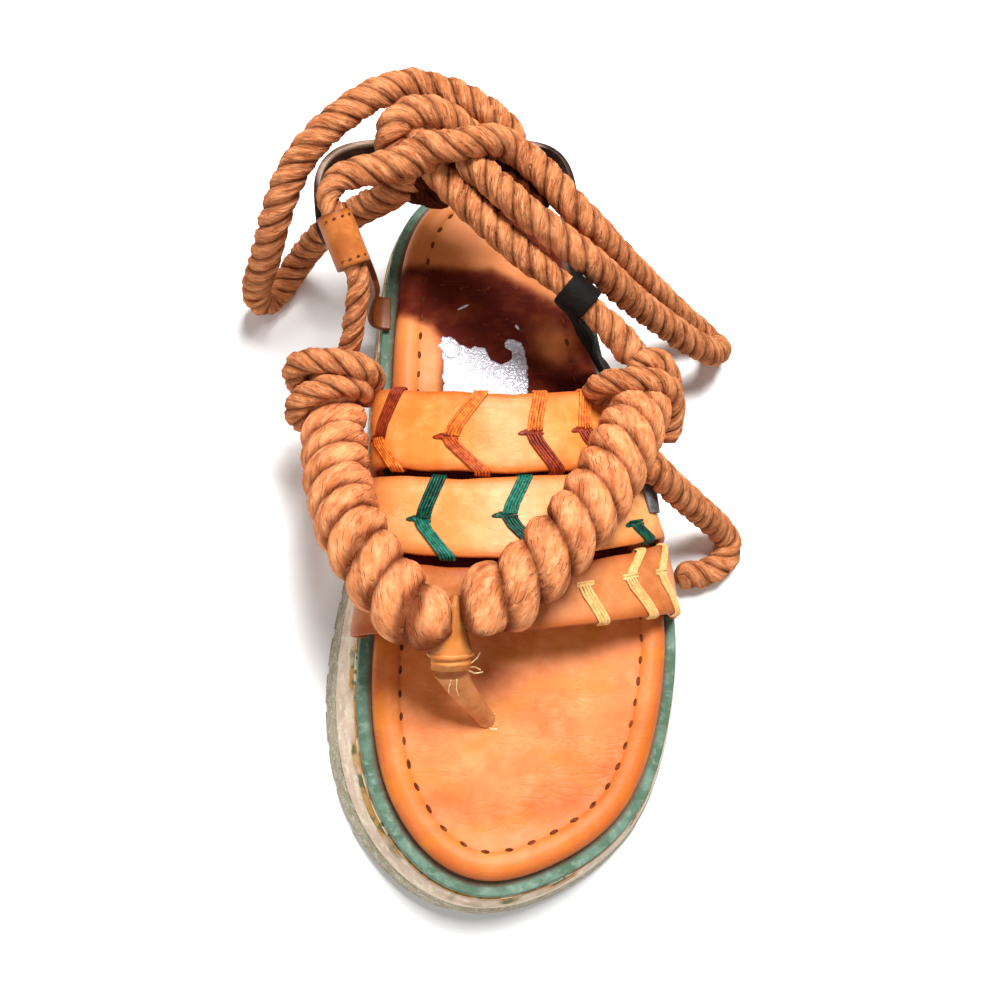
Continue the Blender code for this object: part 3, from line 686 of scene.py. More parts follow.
# routes are x, y, z and, for the ties, the rope's size, which is smaller where it passes a tube
TIE_ROPE_MEDIAL = [
    (-58.6, 33.6, 42.4, 0.8), (-55.4, 37.2, 49.0, 0.72), (-54.4, 41.5, 55.2, 0.7),
    (-53.6, 46.4, 60.8, 0.7), (-53.2, 51.4, 64.6, 0.7), (-54.8, 55.3, 66.7, 0.7),
    (-58.1, 62.0, 70.0, 0.7), (-61.5, 68.8, 73.4, 0.7), (-63.0, 72.2, 75.2, 0.7),
    (-62.0, 75.8, 77.2, 0.8), (-58.4, 78.6, 78.3, 0.9), (-53.0, 80.6, 78.5, 0.97),
    (-46.5, 82.7, 78.5, 1.0), (-38.9, 85.4, 78.5, 1.0),
]
TIE_ROPE_LATERAL = [
    (-24.3, 79.9, 72.0, 1.0), (-18.1, 73.9, 71.5, 1.0), (-10.6, 67.1, 71.0, 1.0),
    (-3.2, 60.6, 70.5, 0.96), (4.3, 55.2, 69.5, 0.82), (8.7, 52.0, 68.9, 0.78), (13.2, 48.7, 68.0, 0.78),
    (17.4, 45.5, 67.0, 0.78), (21.6, 42.2, 65.8, 0.9), (27.2, 37.3, 64.0, 1.0), (33.1, 31.2, 62.0, 1.0),
]
BOW_LOOP_MEDIAL = [
    (-12.6, 102.8, 78.4), (-18.0, 106.0, 79.0), (-24.2, 109.5, 79.0), (-32.0, 112.1, 78.5),
    (-41.2, 113.1, 78.0), (-51.2, 108.8, 77.0), (-60.1, 101.8, 75.5), (-67.1, 95.4, 73.0),
    (-73.0, 88.8, 69.0), (-77.8, 80.9, 62.0), (-81.1, 74.8, 52.0), (-83.9, 71.6, 40.0),
    (-87.2, 71.1, 26.0), (-88.6, 72.0, 13.0), (-86.1, 73.3, 6.5), (-81.2, 79.0, 5.5), (-76.8, 85.4, 9.0),
    (-71.8, 89.1, 17.0), (-66.0, 89.2, 28.0), (-59.4, 87.7, 40.0), (-52.9, 86.4, 50.0),
    (-46.0, 85.2, 58.6), (-39.5, 86.3, 65.2), (-35.0, 88.2, 68.2),
]
BOW_LOOP_LATERAL = [
    (-5.5, 90.6, 78.4), (-1.0, 87.2, 78.5), (3.0, 82.9, 78.5), (7.0, 78.4, 78.0), (10.6, 74.7, 77.0),
    (14.8, 71.9, 75.0), (19.6, 69.9, 71.0), (25.9, 68.9, 63.6), (33.6, 68.8, 54.0), (42.3, 69.4, 43.0),
    (60.2, 70.2, 21.0), (70.9, 70.4, 9.5), (76.0, 69.2, 5.2), (78.6, 65.8, 6.2), (77.3, 61.4, 11.5),
    (73.4, 57.7, 17.0), (67.9, 56.9, 22.0), (55.8, 56.8, 32.5), (39.4, 57.9, 47.5), (28.9, 58.0, 59.0),
    (21.4, 58.4, 67.3), (15.5, 59.8, 72.3), (9.6, 62.4, 75.0), (3.8, 65.4, 77.0), (-2.2, 69.2, 78.6),
    (-8.3, 74.3, 79.0), (-13.5, 79.4, 79.0),
]
ROPE_TAIL = [
    (36.4, 2.2, 52.7), (44.5, -1.0, 45.0), (51.6, -2.6, 36.5), (60.9, -3.7, 25.0), (71.0, -5.3, 13.0),
    (77.3, -9.3, 6.5), (76.7, -15.5, 5.0), (70.8, -20.3, 5.0), (64.7, -21.9, 5.6), (58.5, -22.5, 7.0),
]
CORDS = [
    # piece           node                route              far end
    ("tie_medial",    "tie_rope_medial",  TIE_ROPE_MEDIAL,   "knot"),
    ("tie_lateral",   "tie_rope_lateral", TIE_ROPE_LATERAL,  "knot"),
    ("loop_medial",   "bow_loop_medial",  BOW_LOOP_MEDIAL,   "knot"),
    ("loop_lateral",  "bow_loop_lateral", BOW_LOOP_LATERAL,  "knot"),
    ("tail",          "rope_tail",        ROPE_TAIL,         "bare"),
]

ARM_THICK = 21.4
ARM_TURN = 8.4
TURN_SWELL = 0.55       # how much longer the last turn is than the first
COIL_SWELL = 0.28       # and how much thicker its rope
COIL_THICK = 10.8
COIL_STEP = 0.4
COIL_LAY = 62.0
COIL_SOFT = 0.07
COIL_EASE = 0.35        # share of a turn, and of the radius, where the coil's ends close in
CORE_RADIUS = 5.0
CORE_SIDES = 10
GROOVE_TOP = 0.7        # the coil is lit down to this depth, and dark one fade deeper
GROOVE_FADE = 1.4
GROOVE_LAY = 0.45       # how much painted shade the lay's own valleys keep
# the last turns of each arm lean in and hug the toe piece; the last number of a row is a size
ARM_MEDIAL = [
    (-60.9, 33.3, 36.0, 0.9), (-59.7, 23.6, 34.5, 0.95), (-59.2, 12.6, 36.0, 1.0),
    (-57.9, -1.2, 41.0, 1.0), (-55.3, -14.8, 46.8, 1.0), (-50.3, -27.6, 53.0, 1.0),
    (-43.1, -38.6, 55.6, 1.0), (-35.8, -47.8, 58.0, 1.04), (-28.6, -54.6, 58.4, 1.04),
]
ARM_LATERAL = [
    (38.4, 26.6, 52.0, 0.9), (33.4, 14.6, 57.2, 0.95), (27.1, 2.1, 61.5, 1.0), (20.6, -10.0, 63.6, 1.0),
    (14.3, -19.6, 65.0, 1.0), (7.9, -27.1, 65.9, 1.0), (1.2, -35.1, 65.2, 1.0), (-6.6, -42.0, 63.4, 1.04),
    (-14.2, -47.4, 62.0, 1.12), (-20.2, -54.0, 60.2, 1.1),
]


def coil(rows, hand, phase, lean):
    """The route of a rope wound round an arm, and the arm's own centre line."""
    axis = smooth_route(rows, COIL_STEP)
    total = run_length(axis)
    route = []
    angle, run = phase, 0.0
    before = Vector(axis[0][:3])
    for index, row in enumerate(axis):
        spot = Vector(row[:3])
        step = (spot - before).length
        run += step
        before = spot
        far = (run / total) ** 2
        along = tangent(axis, index)
        up = (UP - along * along.z).normalized()
        angle += hand * 2 * pi * step / (ARM_TURN * (1.0 + TURN_SWELL * far))
        size = 1.0 + COIL_SWELL * far
        near = min(1.0, min(run, total - run) / (ARM_TURN * COIL_EASE))
        out = ARM_THICK / 2 * row[3] - COIL_THICK * size / 2
        out *= COIL_EASE + (1.0 - COIL_EASE) * near
        ring = up.cross(along) * cos(angle) + up * sin(angle)
        route.append((*(spot + ring * out - along * lean * hand * cos(angle)), size))
    return route, axis


def arm(name, node, rows, hand, phase, lean, seed, spare=0.0):
    """A thick rope arm: a rope wound round a core, its last turn left off by a spare length."""
    route, axis = coil(rows, hand, phase, lean)
    route = route[:len(route) - round(spare / COIL_STEP)]
    dense = evenly(route, round(run_length(route) / ROPE_STEP))
    wound, line = rope(dense[::2] + [dense[-1]], COIL_THICK, lay=COIL_LAY, hand=-hand, soft=COIL_SOFT,
                       seed=seed)
    tree = nearest([place(row) for row in axis])
    strand = wound.data.attributes["valley"]
    for vertex, item in zip(wound.data.vertices, strand.data):
        near, index, far = tree.find(vertex.co)
        # painted shade deep in the grooves between the coil's turns, kept with the lay's own
        low = limit((ARM_THICK / 2 * axis[index][3] - GROOVE_TOP - far / MM) / GROOVE_FADE)
        item.value = max(item.value * GROOVE_LAY, low)
    keep(wound, name, "rope", MATS["rope"], node)
    # a dark core as painted shade inside the arm
    core = tube(smooth_route(rows, 3.0)[2:-3], CORE_RADIUS, CORE_SIDES)
    keep(core, name + "_core", "rope", MATS["core"])


KNOT_WRAPS = {
    "arch": [
        (-42.7, 89.1, 70.0), (-45.2, 93.0, 74.0), (-44.6, 96.9, 79.0), (-40.2, 100.4, 81.0),
        (-33.9, 101.4, 81.6), (-27.4, 99.9, 80.5), (-21.0, 96.8, 77.0), (-16.0, 93.4, 72.0),
    ],
    "wrap": [
        (-37.6, 86.4, 66.0), (-38.4, 88.7, 75.0), (-35.0, 88.6, 81.2), (-28.1, 88.1, 83.6),
        (-21.2, 89.4, 84.6), (-14.5, 91.4, 83.6), (-9.4, 91.9, 80.8), (-3.6, 89.4, 78.4),
        (0.8, 85.2, 78.5),
    ],
    "loop_end": [
        (-17.0, 105.5, 78.9), (-12.9, 102.7, 78.4), (-9.4, 99.9, 77.6), (-7.4, 96.6, 75.6),
        (-9.6, 93.0, 72.6), (-16.0, 90.0, 70.5),
    ],
    "front_end": [
        (-9.4, 75.3, 79.0), (-13.4, 79.2, 79.0), (-17.4, 83.4, 78.4), (-20.6, 87.4, 76.0),
        (-22.7, 92.8, 71.0),
    ],
    "side_end": [
        (-20.6, 76.2, 71.8), (-24.2, 79.8, 72.0), (-28.4, 83.9, 72.6), (-32.2, 88.0, 72.4),
        (-34.0, 92.0, 71.0),
    ],
    "tie_end": [
        (-44.6, 83.4, 78.5), (-39.4, 85.2, 78.5), (-34.4, 87.6, 77.0), (-27.1, 92.6, 71.0),
        (-20.5, 94.9, 68.0),
    ],
    "return_end": [
        (-39.5, 86.3, 65.2), (-35.0, 88.2, 68.2), (-30.0, 91.0, 71.0), (-24.0, 93.0, 72.0),
    ],
    "filling": [
        (-41.0, 90.5, 74.0), (-31.0, 93.5, 76.0), (-22.0, 93.0, 77.0), (-12.0, 91.0, 75.0),
    ],
    "back_filling": [
        (-43.0, 93.4, 73.0), (-36.0, 97.0, 75.4), (-28.0, 97.6, 76.0), (-18.0, 96.6, 75.0),
    ],
}
# rope tucked under the knot and between its strands, in the near-black rope as painted shade
TUCKED_ENDS = [
    [
        (-38.7, 85.3, 67.6), (-33.1, 87.3, 69.4), (-24.8, 87.5, 71.0), (-16.5, 87.0, 72.0),
        (-9.3, 86.4, 73.0),
    ],
    [(-42.0, 88.5, 66.0), (-36.0, 86.0, 64.0), (-30.0, 84.4, 64.6), (-24.6, 84.6, 66.6)],
    [(-31.0, 86.0, 66.0), (-22.6, 83.6, 67.4), (-15.6, 79.4, 68.4), (-10.6, 76.0, 69.0)],
    [(-20.0, 92.0, 72.0), (-10.0, 88.0, 71.0), (-3.0, 81.0, 71.4), (3.0, 75.0, 71.6)],
]
HITCHES = {
    "hitch_medial": [
        (-69.0, 28.8, 32.0), (-72.0, 29.9, 40.0), (-70.8, 31.3, 46.6), (-66.2, 31.4, 49.6),
        (-59.3, 31.0, 51.0), (-52.8, 30.4, 50.0), (-48.9, 30.0, 46.0), (-47.8, 29.4, 40.0),
        (-50.5, 28.8, 33.0),
    ],
    "hitch_medial_under": [
        (-68.6, 17.6, 31.0), (-71.2, 19.0, 37.6), (-68.8, 21.4, 44.0), (-61.6, 24.0, 47.4),
        (-54.4, 25.6, 45.8), (-50.0, 26.4, 40.4), (-50.6, 26.4, 33.4),
    ],
    "hitch_lateral": [
        (25.5, 25.2, 44.0), (21.6, 24.8, 52.0), (23.0, 24.2, 59.6), (28.9, 23.8, 63.4),
        (36.1, 24.0, 64.0), (42.2, 23.0, 61.0), (45.8, 20.4, 54.0), (46.4, 16.0, 48.0),
        (45.2, 11.0, 45.0),
    ],
    "hitch_lateral_over": [
        (30.0, 30.0, 60.6), (34.0, 30.6, 63.6), (39.0, 30.4, 63.4), (43.0, 28.0, 59.6),
        (44.6, 24.6, 53.6), (43.0, 20.6, 48.6),
    ],
}
KNOT_THICK = 9.9
TUCKED_THICK = 10.0
HITCH_THICK = 8.2
HITCH_STEP = 1.1


def knot():
    """The bow's knot: crossing strands, and ends tucked in between them in near-black rope as painted shade.
    """
    wraps = [rope(rows, KNOT_THICK, seed=10 + index)[0] for index, rows in enumerate(KNOT_WRAPS.values())]
    tucked = [rope(rows, TUCKED_THICK, seed=31 + index)[0] for index, rows in enumerate(TUCKED_ENDS)]
    keep(join(tucked), "knot_tucked_ends", "rope", MATS["rope_dark"])
    return keep(join(wraps), "knot", "rope", MATS["rope_shaded_copy"], "bow_knot")


def hitches():
    """Rope hitched round the back end of each arm."""
    for seed, (name, rows) in enumerate(HITCHES.items()):
        piece, line = rope(rows, HITCH_THICK, HITCH_STEP, seed=21 + seed)
        keep(piece, name, "rope", MATS["rope_shaded_copy"])


# ---------------------------------------------------------------- camera, floor and light
FLOOR_SIZE = 3.0
CAMERA_AT = (-0.04406, -0.10804, 0.360)
CAMERA_TURNS = (("Z", -22.449), ("X", 19.481), ("Z", 23.325))
SENSOR_WIDTH = 36.0
FOCAL_LENGTH = 39.18
SKY = 0.21
LAMPS = [
    # name      x      y     z     size  power
    ("key",     0.10,  0.34, 0.98, 0.36, 17.6),
    ("fill",   -0.55, -0.75, 0.70, 0.90, 5.0),
]


def studio():
    """A pale paper floor, the camera, a bright sky and two soft lamps."""
    floor = add(bpy.ops.mesh.primitive_plane_add, size=FLOOR_SIZE)
    floor.name = "floor"
    paper = Finish("floor_paper", (250, 250, 250), Specular_IOR_Level=0.1, Roughness=0.9)
    paper.paint(paper.noise(paper.spot(), 300.0, 2.0), (246, 246, 246))
    paper.set(Base_Color=paper.colour)
    floor.data.materials.append(paper.material)

    lens = bpy.data.cameras.new("camera")
    lens.sensor_width = SENSOR_WIDTH
    lens.lens = FOCAL_LENGTH
    lens.clip_start = 0.02
    camera = link("camera", lens)
    place_camera = Matrix.Translation(CAMERA_AT)
    for axis, degrees in CAMERA_TURNS:
        place_camera = place_camera @ Matrix.Rotation(radians(degrees), 4, axis)
    camera.matrix_world = place_camera
    bpy.context.scene.camera = camera

    world = bpy.data.worlds.new("studio")
    bpy.context.scene.world = world
    world.use_nodes = True
    sky = world.node_tree.nodes["Background"].inputs
    sky["Color"].default_value = (1.0, 1.0, 1.0, 1.0)
    sky["Strength"].default_value = SKY
    for name, x, y, z, size, power in LAMPS:
        light = bpy.data.lights.new(name, "AREA")
        light.size = size
        light.energy = power
        lamp = link(name, light)
        lamp.location = (x, y, z)
        lamp.rotation_euler = (-Vector((x, y, z))).to_track_quat("-Z", "Y").to_euler()
    bpy.context.scene.view_settings.view_transform = "Standard"


# ---------------------------------------------------------------- pieces from the model's nodes
DOUBLES = 0.02
PAIRING = 50.0
FINE_LEVELS = 2


def from_node(name, node, slot, material, bevel=0.0, sharp=38.0):
    """A finer copy of a node: doubles merged, faces paired, edges rounded, then subdivided."""
    piece = link(name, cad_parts[node].data.copy())
    pick(piece)
    bpy.ops.mesh.customdata_custom_splitnormals_clear()
    bpy.ops.object.mode_set(mode="EDIT")
    bpy.ops.mesh.select_all(action="SELECT")
    bpy.ops.mesh.remove_doubles(threshold=DOUBLES * MM)
    bpy.ops.mesh.tris_convert_to_quads(face_threshold=radians(PAIRING), shape_threshold=radians(PAIRING))
    bpy.ops.mesh.normals_make_consistent(inside=False)
    bpy.ops.object.mode_set(mode="OBJECT")
    if bevel:
        round_edges(piece, bevel, sharp)
    modifier = piece.modifiers.new("fine", "SUBSURF")
    modifier.levels = modifier.render_levels = FINE_LEVELS
    settle(piece)
    return keep(piece, name, slot, material, node)


DROP_FROM = 45.0


def drop(tree, x, y, lift):
    """The point straight above x, y on a piece, raised by lift, in the last's frame."""
    start = place((x, y, DROP_FROM))
    hit, normal, face, far = tree.ray_cast(start, -UP)
    if hit is None:
        hit, normal, face, far = tree.find_nearest(start)
    return Vector(unplace(hit)) + normal * lift, normal


def scatter(name, model, turns, slot, material):
    """Copies of a small model, each with its own mesh, joined as one piece."""
    copies = []
    for matrix in turns:
        mesh = model.data.copy()
        mesh.transform(matrix)
        copies.append(link(name, mesh))
    bpy.data.objects.remove(model, do_unlink=True)
    keep(join(copies), name, slot, material)


def bead(segments=10):
    """A rounded grain of radius 1, to be stretched into a stitch or a hole."""
    piece = add(bpy.ops.mesh.primitive_uv_sphere_add, segments=segments, ring_count=6, radius=1.0)
    bpy.ops.object.shade_smooth()
    return piece


def lay_bead(spot, along, normal, size):
    """Where a bead goes: its long axis along, its flat axis along the normal, in millimetres."""
    along = (along - normal * along.dot(normal)).normalized()
    turn = Matrix((along, normal.cross(along), normal)).transposed().to_4x4()
    scale = Matrix.Diagonal((*(s / 2 * MM for s in size), 1.0))
    return Matrix.Translation(place(spot)) @ turn @ scale


def threads(name, routes, thick, slot, material):
    """Fine threads through rows of points, as one piece."""
    curve = bpy.data.curves.new(name, "CURVE")
    curve.dimensions = "3D"
    curve.bevel_depth = thick / 2 * MM
    curve.bevel_resolution = 2
    curve.use_fill_caps = True
    for route in routes:
        spline = curve.splines.new("POLY")
        spline.points.add(len(route) - 1)
        for point, row in zip(spline.points, route):
            point.co = (*place(row), 1.0)
        spline.use_smooth = True
    pick(link(name, curve))
    bpy.ops.object.convert(target="MESH")
    bpy.ops.object.shade_smooth()
    keep(bpy.context.object, name, slot, material)


# ---------------------------------------------------------------- the platform and its footbed
def platform():
    """The four layers of the sole."""
    from_node("tread", "outsole", "tread_rubber", MATS["outsole"], 0.3)
    from_node("cream_layer", "midsole_cream", "cream_foam", MATS["cream"], 0.3)
    from_node("gold_layer", "midsole_gold", "gold_paint", MATS["gold"], 0.2)
    teal = from_node("teal_layer", "midsole_teal", "teal_paint", MATS["teal"], 0.3)
    note_where(teal, "inwards", rim_inwards)


def inside(x, y, outline):
    """Whether a point is within an outline."""
    found = False
    for (ax, ay), (bx, by) in zip(outline, outline[1:] + outline[:1]):
        if (ay > y) != (by > y) and x < (bx - ax) * (y - ay) / (by - ay) + ax:
            found = not found
    return found


# the outline of the footbed's painted shade, with some staining: the heel under the knot, the gaps between
# the ropes and the strip under the straps
STAIN_AND_SHADE = [
    (-42.0, 77.0), (-26.0, 79.5), (-8.0, 80.0), (2.0, 75.5), (11.0, 70.0), (19.0, 65.0), (21.0, 68.0),
    (14.0, 78.5), (4.0, 88.5), (-7.0, 99.0), (-16.0, 108.0), (-4.0, 114.0), (26.0, 98.0), (34.0, 60.0),
    (36.0, 20.0), (38.0, -40.0), (10.0, -42.0), (-58.0, -42.0), (-56.0, 16.0), (-26.0, 22.0),
    (-25.5, 49.5), (-29.0, 56.0), (-42.0, 59.0),
]
STAIN_AND_SHADE_SOFT = 5.0
# a painted pool of light that thins the painted shade round this spot
LIT_SPOT = (13.5, 51.5)
LIT_SPREAD = 45.0
OCHRE = [
    # x      y      along  across
    (-21.0, -99.0,  12.0,  6.0),
    (12.0, -100.0,  15.0,  6.0),
    (26.0,  -90.0,  10.0,  7.0),
    (33.0,  -77.0,  7.0,   9.0),
]


def stain_and_shade(x, y):
    """How much painted shade, with some staining, lies on the footbed at a point: full within the
    STAIN_AND_SHADE outline, softly out at its edge, and less in a painted pool of light round LIT_SPOT.
    """
    spot = Vector((x, y))
    gaps = []
    for start, end in zip(STAIN_AND_SHADE, STAIN_AND_SHADE[1:] + STAIN_AND_SHADE[:1]):
        a, b = Vector(start), Vector(end)
        gaps.append((spot - a.lerp(b, limit((spot - a).dot(b - a) / (b - a).length_squared))).length)
    near = min(gaps) if inside(x, y, STAIN_AND_SHADE) else -min(gaps)
    glow = exp(-(spot - Vector(LIT_SPOT)).length_squared / LIT_SPREAD)
    return limit(0.5 + near / STAIN_AND_SHADE_SOFT) * (1.0 - 0.75 * glow)


def ochre(x, y):
    """How ochre the toe is at a point."""
    return sum(exp(-((x - a) / wide) ** 2 - ((y - b) / deep) ** 2) for a, b, wide, deep in OCHRE)


STITCH_PITCH = 7.0
FIRST_STITCH = 1.5
STITCH_SIZE = (3.1, 1.35, 0.8)
STITCH_LIFT = -0.12


def footbed():
    """The leather footbed with the stitches in its channel; gives a tree of its surface."""
    piece = from_node("footbed_leather", "footbed", "footbed_leather", MATS["footbed"])
    note_where(piece, "inwards", rim_inwards)
    note_where(piece, "ochre", ochre)
    note_where(piece, "stain_and_shade", stain_and_shade)
    bpy.context.view_layer.update()
    tree = BVHTree.FromObject(piece, bpy.context.evaluated_depsgraph_get())
    channel = [Vector((x - across * CHANNEL_IN, y - ahead * CHANNEL_IN)) for x, y, across, ahead in RIM]
    long, wide, high = STITCH_SIZE
    turns = []
    run, goal = 0.0, FIRST_STITCH
    for p, q in zip(channel, channel[1:] + channel[:1]):
        step = (q - p).length
        while run <= goal < run + step:
            spot = p.lerp(q, (goal - run) / step)
            wobble = random.uniform(-0.2, 0.2)
            at, normal = drop(tree, spot.x, spot.y, STITCH_LIFT)
            along = (q - p).normalized().to_3d()
            along.rotate(Matrix.Rotation(radians(random.uniform(-9, 9)), 3, "Z"))
            turns.append(lay_bead(at + normal * wobble * 0.2, along, normal,
                                  (long + wobble, wide + wobble * 0.5, high)))
            goal += STITCH_PITCH + random.uniform(-0.35, 0.35)
        run += step
    # the stitch holes as dark beads: painted shade inside them
    scatter("footbed_stitches", bead(), turns, "footbed_leather", MATS["hole"])
    return tree


FOIL_OUTLINE = [
    (-25.6, 51.6), (-26.2, 48.6), (-25.4, 45.6), (-24.8, 43.0), (-24.6, 30.2), (-0.6, 31.0), (4.0, 31.0),
    (4.4, 38.0), (4.0, 45.4), (2.6, 51.6), (-0.6, 53.4), (-3.6, 52.4), (-4.0, 50.0), (-1.6, 48.2),
    (-1.6, 45.6), (-5.0, 43.4), (-8.8, 45.4), (-10.2, 49.0), (-13.4, 49.6), (-16.0, 48.9), (-19.0, 49.8),
    (-20.6, 51.8), (-23.2, 53.0),
]
FOIL_MARKS = [
    # x      y     long  wide
    (-21.9,  47.4, 6.0,  6.0),
    (-18.0,  64.0, 4.6,  0.9),
    (0.6,    57.6, 1.0,  2.2),
]
FOIL_THICK = 0.12
FOIL_LIFT = 0.10
FOIL_GRID = (64, 58)
MARK_LIFT = 0.16
MARK_HIGH = 0.3
MARK_ALONG = Vector((1.0, 0.62, 0.0))


def worn_foil(tree):
    """What is left of a foil panel on the footbed, ragged and speckled."""
    xs, ys = zip(*FOIL_OUTLINE)
    wide, deep = max(xs) - min(xs) + 1.0, max(ys) - min(ys) + 1.0
    middle = ((max(xs) + min(xs)) / 2, (max(ys) + min(ys)) / 2)
    columns, rows = FOIL_GRID
    piece = add(bpy.ops.mesh.primitive_grid_add, x_subdivisions=columns, y_subdivisions=rows, size=1.0)
    for vertex in piece.data.vertices:
        vertex.co = (middle[0] + vertex.co.x * wide, middle[1] + vertex.co.y * deep, 0.0)
    bpy.ops.object.mode_set(mode="EDIT")
    bpy.ops.mesh.select_mode(type="FACE")
    bpy.ops.mesh.select_all(action="DESELECT")
    bpy.ops.object.mode_set(mode="OBJECT")
    for polygon in piece.data.polygons:
        x, y, z = polygon.center
        worn = noise.noise(Vector((x * 0.5, y * 0.5, 3.0))) * 0.7
        polygon.select = not inside(x + worn, y - worn, FOIL_OUTLINE)
    bpy.ops.object.mode_set(mode="EDIT")
    bpy.ops.mesh.delete(type="FACE")
    bpy.ops.mesh.select_mode(type="VERT")
    bpy.ops.mesh.select_all(action="SELECT")
    bpy.ops.mesh.vertices_smooth(factor=0.5, repeat=3)
    bpy.ops.object.mode_set(mode="OBJECT")
    for vertex in piece.data.vertices:
        vertex.co = place(drop(tree, vertex.co.x, vertex.co.y, FOIL_LIFT)[0])
    thicken(piece, FOIL_THICK, offset=-1.0)
    settle(piece)
    keep(piece, "worn_foil", "footbed_leather", MATS["foil"])
    marks = []
    for x, y, along, across in FOIL_MARKS:
        spot, normal = drop(tree, x, y, MARK_LIFT)
        marks.append(lay_bead(spot, MARK_ALONG, normal, (along, across, MARK_HIGH)))
    scatter("foil_marks", bead(28), marks, "footbed_leather", MATS["chalk"])


# ---------------------------------------------------------------- straps and lacing
STRAP_THICK = 2.4
STRAP_OUT = 2.8
STRAP_FOOT_Z = 25.7
STRAP_DIP = radians(14.0)
STRAP_LEAN = 2.6
STRAP_COLUMNS = 110
STRAP_ROWS = 12
STRAP_ROUND = 0.55
BURNT_WIDE = 3.2        # how far in from a strap's edge the burnishing reaches
CURL_WIDE = 2.0
CURL_DOWN = 0.35
WAVY_EDGE = 0.035
DENTS = 0.25
STRAPS = {
    # each edge:    medial_y crown_y lateral_y crown_z
    "strap_top":    ((1.4,    -4.5,    6.0,   55.0), (27.0,  20.5,  29.5, 56.0)),
    "strap_middle": ((-25.5, -30.5,  -18.5,   54.0), (-1.5,  -6.0,   4.5, 54.0)),
    "strap_front":  ((-50.7, -51.0,  -42.0,   49.5), (-27.5, -33.0, -20.5, 50.5)),
}
SLIT_THREAD = {"strap_top": "rust_thread", "strap_middle": "green_thread", "strap_front": "yellow_thread"}
LACE_THICK = 0.95
SLIT_SIZE = (6.4, 2.0, 0.6)
# the turned end: its strap, where it starts and ends along it, and its shares of the strap's width
TURNED_END = ("strap_middle", 44.6, 51.6, 0.34, 0.92)
TURNED_THICK = 0.9
LACING = {
    # apex run, upper leg's end, lower leg's end, apex share, upper thread, lower thread, strands
    "strap_top": [
        (-43.4, -34.6, -36.0, 0.40, "rust_thread", "orange_thread", 5),
        (-19.2, -7.4, -9.7, 0.42, "orange_thread", "copper_thread", 5),
        (6.4, 11.5, 12.2, 0.49, "orange_thread", "rust_thread", 5),
        (23.4, 27.8, 30.0, 0.49, "orange_thread", "rust_thread", 5),
        (41.0, 50.0, 50.5, 0.48, "orange_thread", "rust_thread", 5),
    ],
    "strap_middle": [
        (-30.0, -24.0, -22.0, 0.45, "green_thread", "teal_thread", 5),
        (-4.4, 2.8, 6.0, 0.53, "teal_thread", "green_thread", 5),
        (37.0, 40.0, 41.5, 0.24, None, "green_thread", 5),
    ],
    "strap_front": [
        (17.8, 24.0, 23.8, 0.64, None, "yellow_thread", 4),
        (33.4, 40.2, 41.4, 0.64, "yellow_thread", "yellow_thread", 4),
        (46.5, 52.6, 53.6, 0.62, "yellow_thread", "yellow_thread", 4),
    ],
}


def rim_point(half, y):
    """The foot of a strap's edge: the point of one half of the outline at y, a little outwards."""
    for a, b in zip(half, half[1:]):
        if a[1] >= y >= b[1]:
            part = (a[1] - y) / (a[1] - b[1])
            x, spot_y, across, ahead = (p + (q - p) * part for p, q in zip(a, b))
            return Vector((x + across * STRAP_OUT, spot_y + ahead * STRAP_OUT, 0.0))


def strap_spot(name, angle, share):
    """A point on a strap's middle: angle from the lateral foot over the crown, share from its front."""
    front, back = STRAPS[name]
    medial_y, crown_y, lateral_y, crown_z = [a + (b - a) * share for a, b in zip(front, back)]
    left = rim_point(HALVES[0], medial_y)
    right = rim_point(HALVES[1], lateral_y)
    spot = (left + right) / 2 + (right - left) / 2 * cos(angle) / cos(STRAP_DIP)
    rise = sin(angle)
    spring_z = (STRAP_FOOT_Z + crown_z * sin(STRAP_DIP)) / (1 + sin(STRAP_DIP))
    spot.y += (crown_y - (left.y + right.y) / 2) * max(0.0, rise) ** 2
    spot.z = spring_z + (crown_z - spring_z) * rise
    spot.x -= STRAP_LEAN * (1 - exp((STRAP_FOOT_Z - spot.z) / 5.0))
    return spot


def strap_frame(name, angle, share):
    """A point on a strap with its outward normal."""
    run = strap_spot(name, angle + 0.01, share) - strap_spot(name, angle - 0.01, share)
    wide = strap_spot(name, angle, share + 0.02) - strap_spot(name, angle, share - 0.02)
    return strap_spot(name, angle, share), wide.cross(run).normalized()


def strap_angles(name):
    """Rows of the distance from the crown along a strap and its angle, medial side negative."""
    first, last = -STRAP_DIP, pi + STRAP_DIP
    rows = []
    run = 0.0
    before = strap_spot(name, first, 0.5)
    for step in range(401):
        angle = first + (last - first) * step / 400
        spot = strap_spot(name, angle, 0.5)
        run += (spot - before).length
        before = spot
        rows.append((run, angle))
    crown = min(rows, key=lambda row: abs(row[1] - pi / 2))[0]
    return [(crown - run, angle) for run, angle in rows]


def angle_at(rows, far):
    """The angle at a distance from the crown."""
    low, high = 0, len(rows) - 1
    while high - low > 1:
        middle = (low + high) // 2
        if rows[middle][0] > far:
            low = middle
        else:
            high = middle
    a, b = rows[low], rows[high]
    part = (a[0] - far) / (a[0] - b[0]) if a[0] != b[0] else 0.0
    return a[1] + (b[1] - a[1]) * part


STRAP_RUNS = {name: strap_angles(name) for name in STRAPS}


def on_strap(name, run, share):
    """A point on a strap with its normal, at a distance from the crown and a share of its width."""
    return strap_frame(name, angle_at(STRAP_RUNS[name], run), share)


